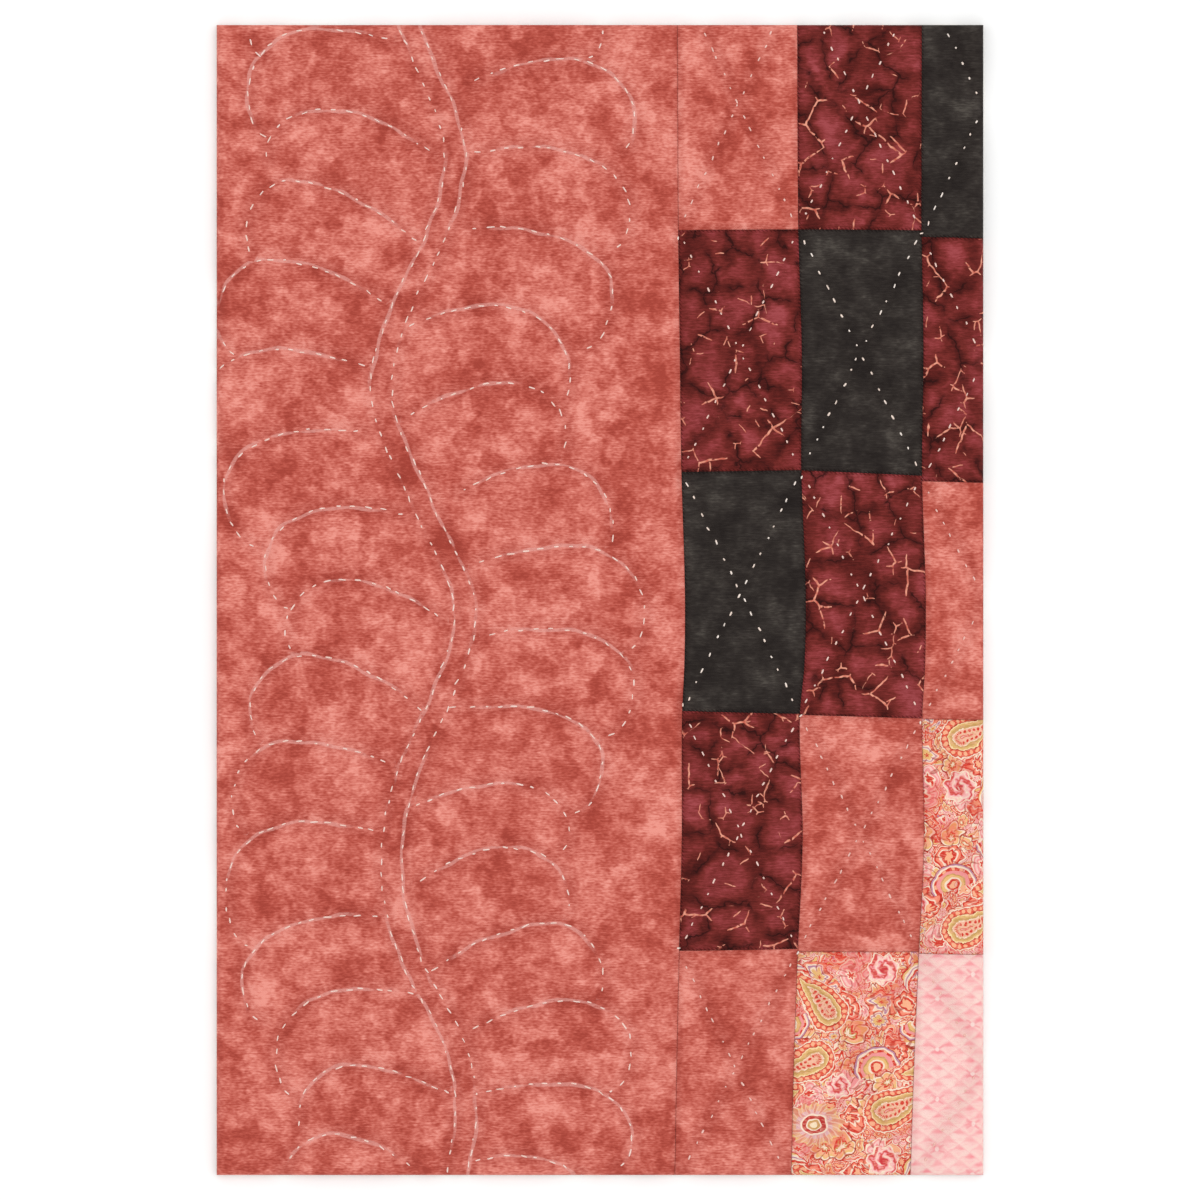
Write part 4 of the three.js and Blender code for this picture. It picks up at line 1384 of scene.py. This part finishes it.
def curl(recipe, colour, x, y, across, upward, degrees, size):
    """Half rings over a flat foot: bands by distance, kept where the point is above the foot."""
    right, up = from_middle(recipe, x, y, across, upward, degrees)
    distance = length_of(recipe, right * 0.85, up)
    table = [(0.0, dye(255, 190, 150)), (0.16, RED), (0.27, CREAM), (0.36, OLIVE), (0.48, MOSS), (0.54, ROSE),
             (0.68, RED), (0.80, CREAM), (0.88, VIOLET), (0.95, BRICK)]
    drawn = recipe.ramp(distance / size, table, "CONSTANT")
    dots = recipe.maths("SINE", recipe.maths("ARCTAN2", up, right) * 11)
    ring = recipe.step(recipe.maths("ABSOLUTE", distance / size - 0.74), 0.06, 0.03)
    drawn = recipe.blend(recipe.step(dots, 0.2, 0.5) * ring, drawn, PEACH)
    shape = recipe.step(distance, size, size - 0.1) * recipe.step(up, -0.25 * size, -0.25 * size + 0.15)
    return recipe.blend(shape, colour, drawn)


def crescent(recipe, colour, x, y, across, upward, degrees, size):
    """One disc less another that is moved sideways. Stripes follow the second disc's edge."""
    right, up = from_middle(recipe, x, y, across, upward, degrees)
    outer = length_of(recipe, right, up) - size
    inner = length_of(recipe, right - 0.42 * size, up) - 0.86 * size
    table = [(0.0, RED), (0.10, CREAM), (0.26, VIOLET), (0.36, CREAM), (0.52, OLIVE), (0.70, BRICK), (0.78, PEACH)]
    drawn = recipe.ramp(inner / (0.62 * size), table, "CONSTANT")
    drawn = recipe.blend(recipe.step(outer, -0.42, -0.34), drawn, RED)
    shape = recipe.step(outer, 0.0, -0.1) * recipe.step(inner, -0.3, -0.2)
    return recipe.blend(shape, colour, drawn)


# %% [markdown]
# ### The ground, and the whole print
# Between the motifs the print is filled up with small flowers, leaves and flowing lines. Lines of equal height on a
# hilly noise curl and nest like drawn scrolls, so a ramp with hard steps over noise draws those. The flowers stand
# on a Voronoi pattern: each cell knows its middle, and rings and petals follow from the place round it.

# %% Mix the paisley
SCROLLS = [
    (0.00, PEACH),
    (0.20, CREAM),
    (0.24, RED),
    (0.31, ROSE),
    (0.36, BRICK),
    (0.375, CREAM),
    (0.42, SALMON),
    (0.47, RED),
    (0.54, CREAM),
    (0.575, ROSE),
    (0.62, BRICK),
    (0.635, OLIVE),
    (0.70, RED),
    (0.77, CREAM),
    (0.81, PEACH),
]
PINK_FLOWER = [(0.0, RED), (0.10, CREAM), (0.16, ROSE), (0.26, dye(255, 204, 196)), (0.34, ROSE), (0.40, CREAM),
               (0.45, RED)]
PEACH_FLOWER = [(0.0, CREAM), (0.08, MOSS), (0.13, RED), (0.19, PEACH), (0.30, OLIVE), (0.37, CREAM), (0.42, BRICK)]
BEAD_FLOWER = [(0.0, PEACH), (0.14, RED), (0.23, CREAM), (0.28, SALMON), (0.36, RED), (0.43, CREAM)]
LEAF_FLOWER = [(0.0, RED), (0.07, OLIVE), (0.20, CREAM), (0.25, VIOLET), (0.30, CREAM), (0.35, SALMON), (0.43, RED)]
DROPS = [
    (12.0, 41.0, 14.0, 4.4, 14.5, 3.8),
    (30.5, 57.5, 214.0, 3.9, 14.0, -3.6),
    (34.5, 12.0, 118.0, 4.1, 14.0, 3.4),
]


def small_flowers(recipe, colour, place, cell, shift):
    """Rings by the distance from the middle of a cell, made wavy by petals round it. The cell's own random colour
    turns the petals, sets their number and picks one of four lists of rings."""
    moved = recipe.vector("ADD", place, shift)
    far = recipe.node("TexVoronoi", {"voronoi_dimensions": "2D", "feature": "F1"},
                      {"Vector": moved, "Scale": 1 / cell, "Randomness": 0.8})
    middle = far.output("Position")
    own = recipe.node("SeparateColor", sockets={0: far.output("Color")})
    local = recipe.node("SeparateXYZ", sockets={0: recipe.vector("SUBTRACT", moved, middle)})
    angle = recipe.maths("ARCTAN2", local.output("Y"), local)
    count = recipe.maths("FLOOR", own.output("Green") * 4) + 5
    petals = recipe.maths("SINE", angle * count + own * 6.0 + far * 5.0)
    ring = far + petals * 0.035
    drawn = recipe.ramp(ring, PINK_FLOWER, "CONSTANT")
    for least, flower in ((0.3, PEACH_FLOWER), (0.55, BEAD_FLOWER), (0.8, LEAF_FLOWER)):
        drawn = recipe.blend(recipe.maths("GREATER_THAN", own.output("Blue"), least), drawn,
                             recipe.ramp(ring, flower, "CONSTANT"))
    gaps = recipe.step(petals, 0.72, 0.9) * recipe.step(far, 0.14, 0.18)
    drawn = recipe.blend(gaps * 0.7, drawn, BRICK)
    return recipe.blend(recipe.step(ring, 0.48, 0.465), colour, drawn)


def close_paisley():
    """The scrolls and flowers, then each motif drawn over them in turn, all on a slightly shaky hand's place."""
    recipe = Recipe("paisley_cotton")
    place, flat_x, flat_y = cloth_place(recipe)
    streaks = weft_streaks(recipe, flat_x, flat_y)
    shaken = bent_place(recipe, place, 3.0, 1.3, 1.0)
    parts = recipe.node("SeparateXYZ", sockets={0: shaken})
    x = parts
    y = parts.output("Y")
    curled = bent_place(recipe, place, 4.0, 4.5, 0.5)
    colour = recipe.ramp(recipe.noise(curled, 4.4, 0.0) * 1.2 + 0.50, SCROLLS, "CONSTANT")
    dots = recipe.node("TexVoronoi", {"voronoi_dimensions": "2D", "feature": "F1"},
                       {"Vector": shaken, "Scale": 1 / 1.8, "Randomness": 0.6}) * 1.8
    dotted = recipe.step(recipe.noise(place, 4.0, 0.0), 0.02, 0.06) * recipe.step(dots, 0.52, 0.40)
    colour = recipe.blend(dotted * 0.9, colour, recipe.ramp(recipe.noise(place, 2.2) + 0.5, [
        (0.0, RED), (0.48, CREAM), (0.72, VIOLET)], "CONSTANT"))
    swept = bent_place(recipe, place, 6.0, 5.2, 0.8)
    colour = small_flowers(recipe, colour, swept, 4.2, (7.0, 3.0, 0.0))
    colour = small_flowers(recipe, colour, swept, 9.0, (40.0, 90.0, 0.0))
    tinge = recipe.step(recipe.noise(place, 8.0, 0.0), 0.0, 0.2)
    colour = recipe.blend(tinge * 0.50, colour, dye(228, 66, 52))
    colour = curl(recipe, colour, x, y, 9.5, 55.0, 20.0, 6.4)
    colour = crescent(recipe, colour, x, y, 23.0, 22.5, -50.0, 5.6)
    colour = rose(recipe, colour, x, y, 11.5, 25.5, 4.9)
    colour = rose(recipe, colour, x, y, 37.5, 49.0, 3.8)
    colour = daisy(recipe, colour, x, y, 30.0, 37.0)
    colour = curl(recipe, colour, x, y, 22.5, 8.5, 200.0, 5.4)
    for drop in DROPS:
        colour = beaded_drop(recipe, colour, x, y, *drop)
    grain = recipe.step(recipe.noise(stretched(recipe, flat_x, flat_y, 1.7, 0.5), 1.0, 1.0), -0.06, 0.22)
    colour = recipe.blend(grain * 0.36, colour, dye(255, 184, 160))
    return finish_cotton(recipe, colour, flat_x, flat_y, streaks, 0.30, 0.15)


paisley = close_paisley()
for piece in cloths["paisley"]:
    piece.data.materials.append(paisley)
print("paisley nodes:", len(paisley.node_tree.nodes))

# %% [markdown]
# ## Backing cotton and thread
# The backing is unbleached cotton: a warm off-white with small darker flecks of seed. The thread is waxed, so it is a
# little glossier than the cloth, and its twist shows as slanting ridges across each stitch, with painted shade
# between them.

# %% Mix the backing and the thread
THREAD_TWIST = 0.55


def unbleached():
    """Off-white with slow clouds and sparse flecks where a fine noise is near its top."""
    recipe = Recipe("plain_backing_cotton")
    place, x, y = cloth_place(recipe)
    streaks = weft_streaks(recipe, x, y)
    colour = recipe.blend(recipe.noise(place, 14.0, 2.0) * 1.2 + 0.5, dye(226, 216, 196), dye(238, 230, 214))
    fleck = recipe.step(recipe.noise(stretched(recipe, x, y, 1.4, 0.7), 1.0), 0.27, 0.34)
    colour = recipe.blend(fleck * 0.6, colour, dye(176, 150, 112))
    over_under = recipe.maths("SINE", x * (2 * math.pi / WEAVE)) * recipe.maths("SINE", y * (2 * math.pi / WEAVE))
    bump = recipe.node("Bump", sockets={"Height": over_under * WEAVE_RAISED + streaks * SLUB_RAISED, "Distance": MM,
                                        "Strength": 0.8})
    shader = recipe.node("BsdfPrincipled", sockets={
        "Base Color": colour,
        "Roughness": COTTON_ROUGHNESS,
        "Specular IOR Level": COTTON_SPECULAR,
        "Normal": bump,
    })
    recipe.node("OutputMaterial", sockets={"Surface": shader})
    return recipe.material


def waxed_thread():
    """Off-white, with painted shade between the plies: a sine over the length plus the way round gives the
    slanting twist.
    """
    recipe = Recipe("quilting_thread")
    place, along, around = cloth_place(recipe)
    twist = recipe.maths("SINE", (along + around * 1.4) * (2 * math.pi / THREAD_TWIST))
    spots = recipe.node("TexCoord", output=3)
    uneven = recipe.node("TexNoise", {}, {"Vector": spots, "Scale": 1 / 0.004, "Detail": 1.0})
    colour = recipe.blend(recipe.step(uneven, 0.35, 0.65), (0.96, 0.80, 0.69, 1.0), (1.0, 0.91, 0.83, 1.0))
    colour = recipe.blend(attribute(recipe, "tint"), colour, dye(252, 186, 174))
    # Painted shade in the grooves between the plies
    colour = recipe.blend(recipe.step(twist, 0.0, -1.0) * 0.18, colour, dye(236, 176, 160))
    bump = recipe.node("Bump", sockets={"Height": twist * 0.04, "Distance": MM, "Strength": 0.7})
    shader = recipe.node("BsdfPrincipled", sockets={
        "Base Color": colour,
        "Roughness": 0.55,
        "Specular IOR Level": 0.3,
        "Normal": bump,
    })
    recipe.node("OutputMaterial", sockets={"Surface": shader})
    return recipe.material


backing.data.materials.append(unbleached())
thread_finish = waxed_thread()
for piece in threads:
    piece.data.materials.append(thread_finish)
print("thread pieces:", [piece.name for piece in threads])

# %% [markdown]
# ## Table, light and camera
# The quilt lies on a white table and is seen from straight above, as for a record photo of a textile. The light is
# nearly shadowless: a bright even sky gives most of it, and one broad soft sun from high on the right adds just
# enough modelling to show the puff of the quilting. The camera is far off with a long lens, so nothing leans.

# %% Set the stage
SKY = 0.94
SUN = 0.62
SUN_SPREAD = 50.0
TABLE_DROP = 0.0004
TABLE_HALF = 4.0
CAMERA_HEIGHT = 2.0
VIEW_WIDTH = 0.375
SENSOR = 36.0

table_mesh = bpy.data.meshes.new("table_top")
corners = [(-TABLE_HALF, -TABLE_HALF), (TABLE_HALF, -TABLE_HALF), (TABLE_HALF, TABLE_HALF), (-TABLE_HALF, TABLE_HALF)]
table_mesh.from_pydata([(x, y, -TABLE_DROP) for x, y in corners], [], [(0, 1, 2, 3)])
table_top = bpy.data.objects.new("table_top", table_mesh)
bpy.context.scene.collection.objects.link(table_top)
white = Recipe("white_table")
speckle = white.node("TexNoise", {}, {"Vector": white.node("TexCoord", output=3), "Scale": 30.0, "Detail": 2.0})
paint = white.blend(speckle * 0.2, (0.96, 0.96, 0.955, 1.0), (0.93, 0.93, 0.93, 1.0))
white.node("OutputMaterial", sockets={"Surface": white.node("BsdfPrincipled", sockets={
    "Base Color": paint, "Roughness": 0.8, "Specular IOR Level": 0.2})})
table_mesh.materials.append(white.material)

world = bpy.data.worlds.new("even_sky")
bpy.context.scene.world = world
world.use_nodes = True
world.node_tree.nodes["Background"].inputs["Color"].default_value = (1.0, 1.0, 1.0, 1.0)
world.node_tree.nodes["Background"].inputs["Strength"].default_value = SKY

sun_data = bpy.data.lights.new("soft_sun", "SUN")
sun_data.energy = SUN
sun_data.angle = math.radians(SUN_SPREAD)
sun = bpy.data.objects.new("soft_sun", sun_data)
sun.rotation_euler = (math.radians(-11), math.radians(15), 0.0)
bpy.context.scene.collection.objects.link(sun)

camera_data = bpy.data.cameras.new("record_camera")
camera_data.sensor_width = SENSOR
camera_data.lens = SENSOR * CAMERA_HEIGHT / VIEW_WIDTH
camera_data.clip_end = 20.0
camera = bpy.data.objects.new("record_camera", camera_data)
camera.location = (0.0, 0.0, CAMERA_HEIGHT + LOFT * MM)
bpy.context.scene.collection.objects.link(camera)
bpy.context.scene.camera = camera
bpy.context.scene.view_settings.view_transform = "Standard"
print("lens:", round(camera_data.lens, 1), "mm")
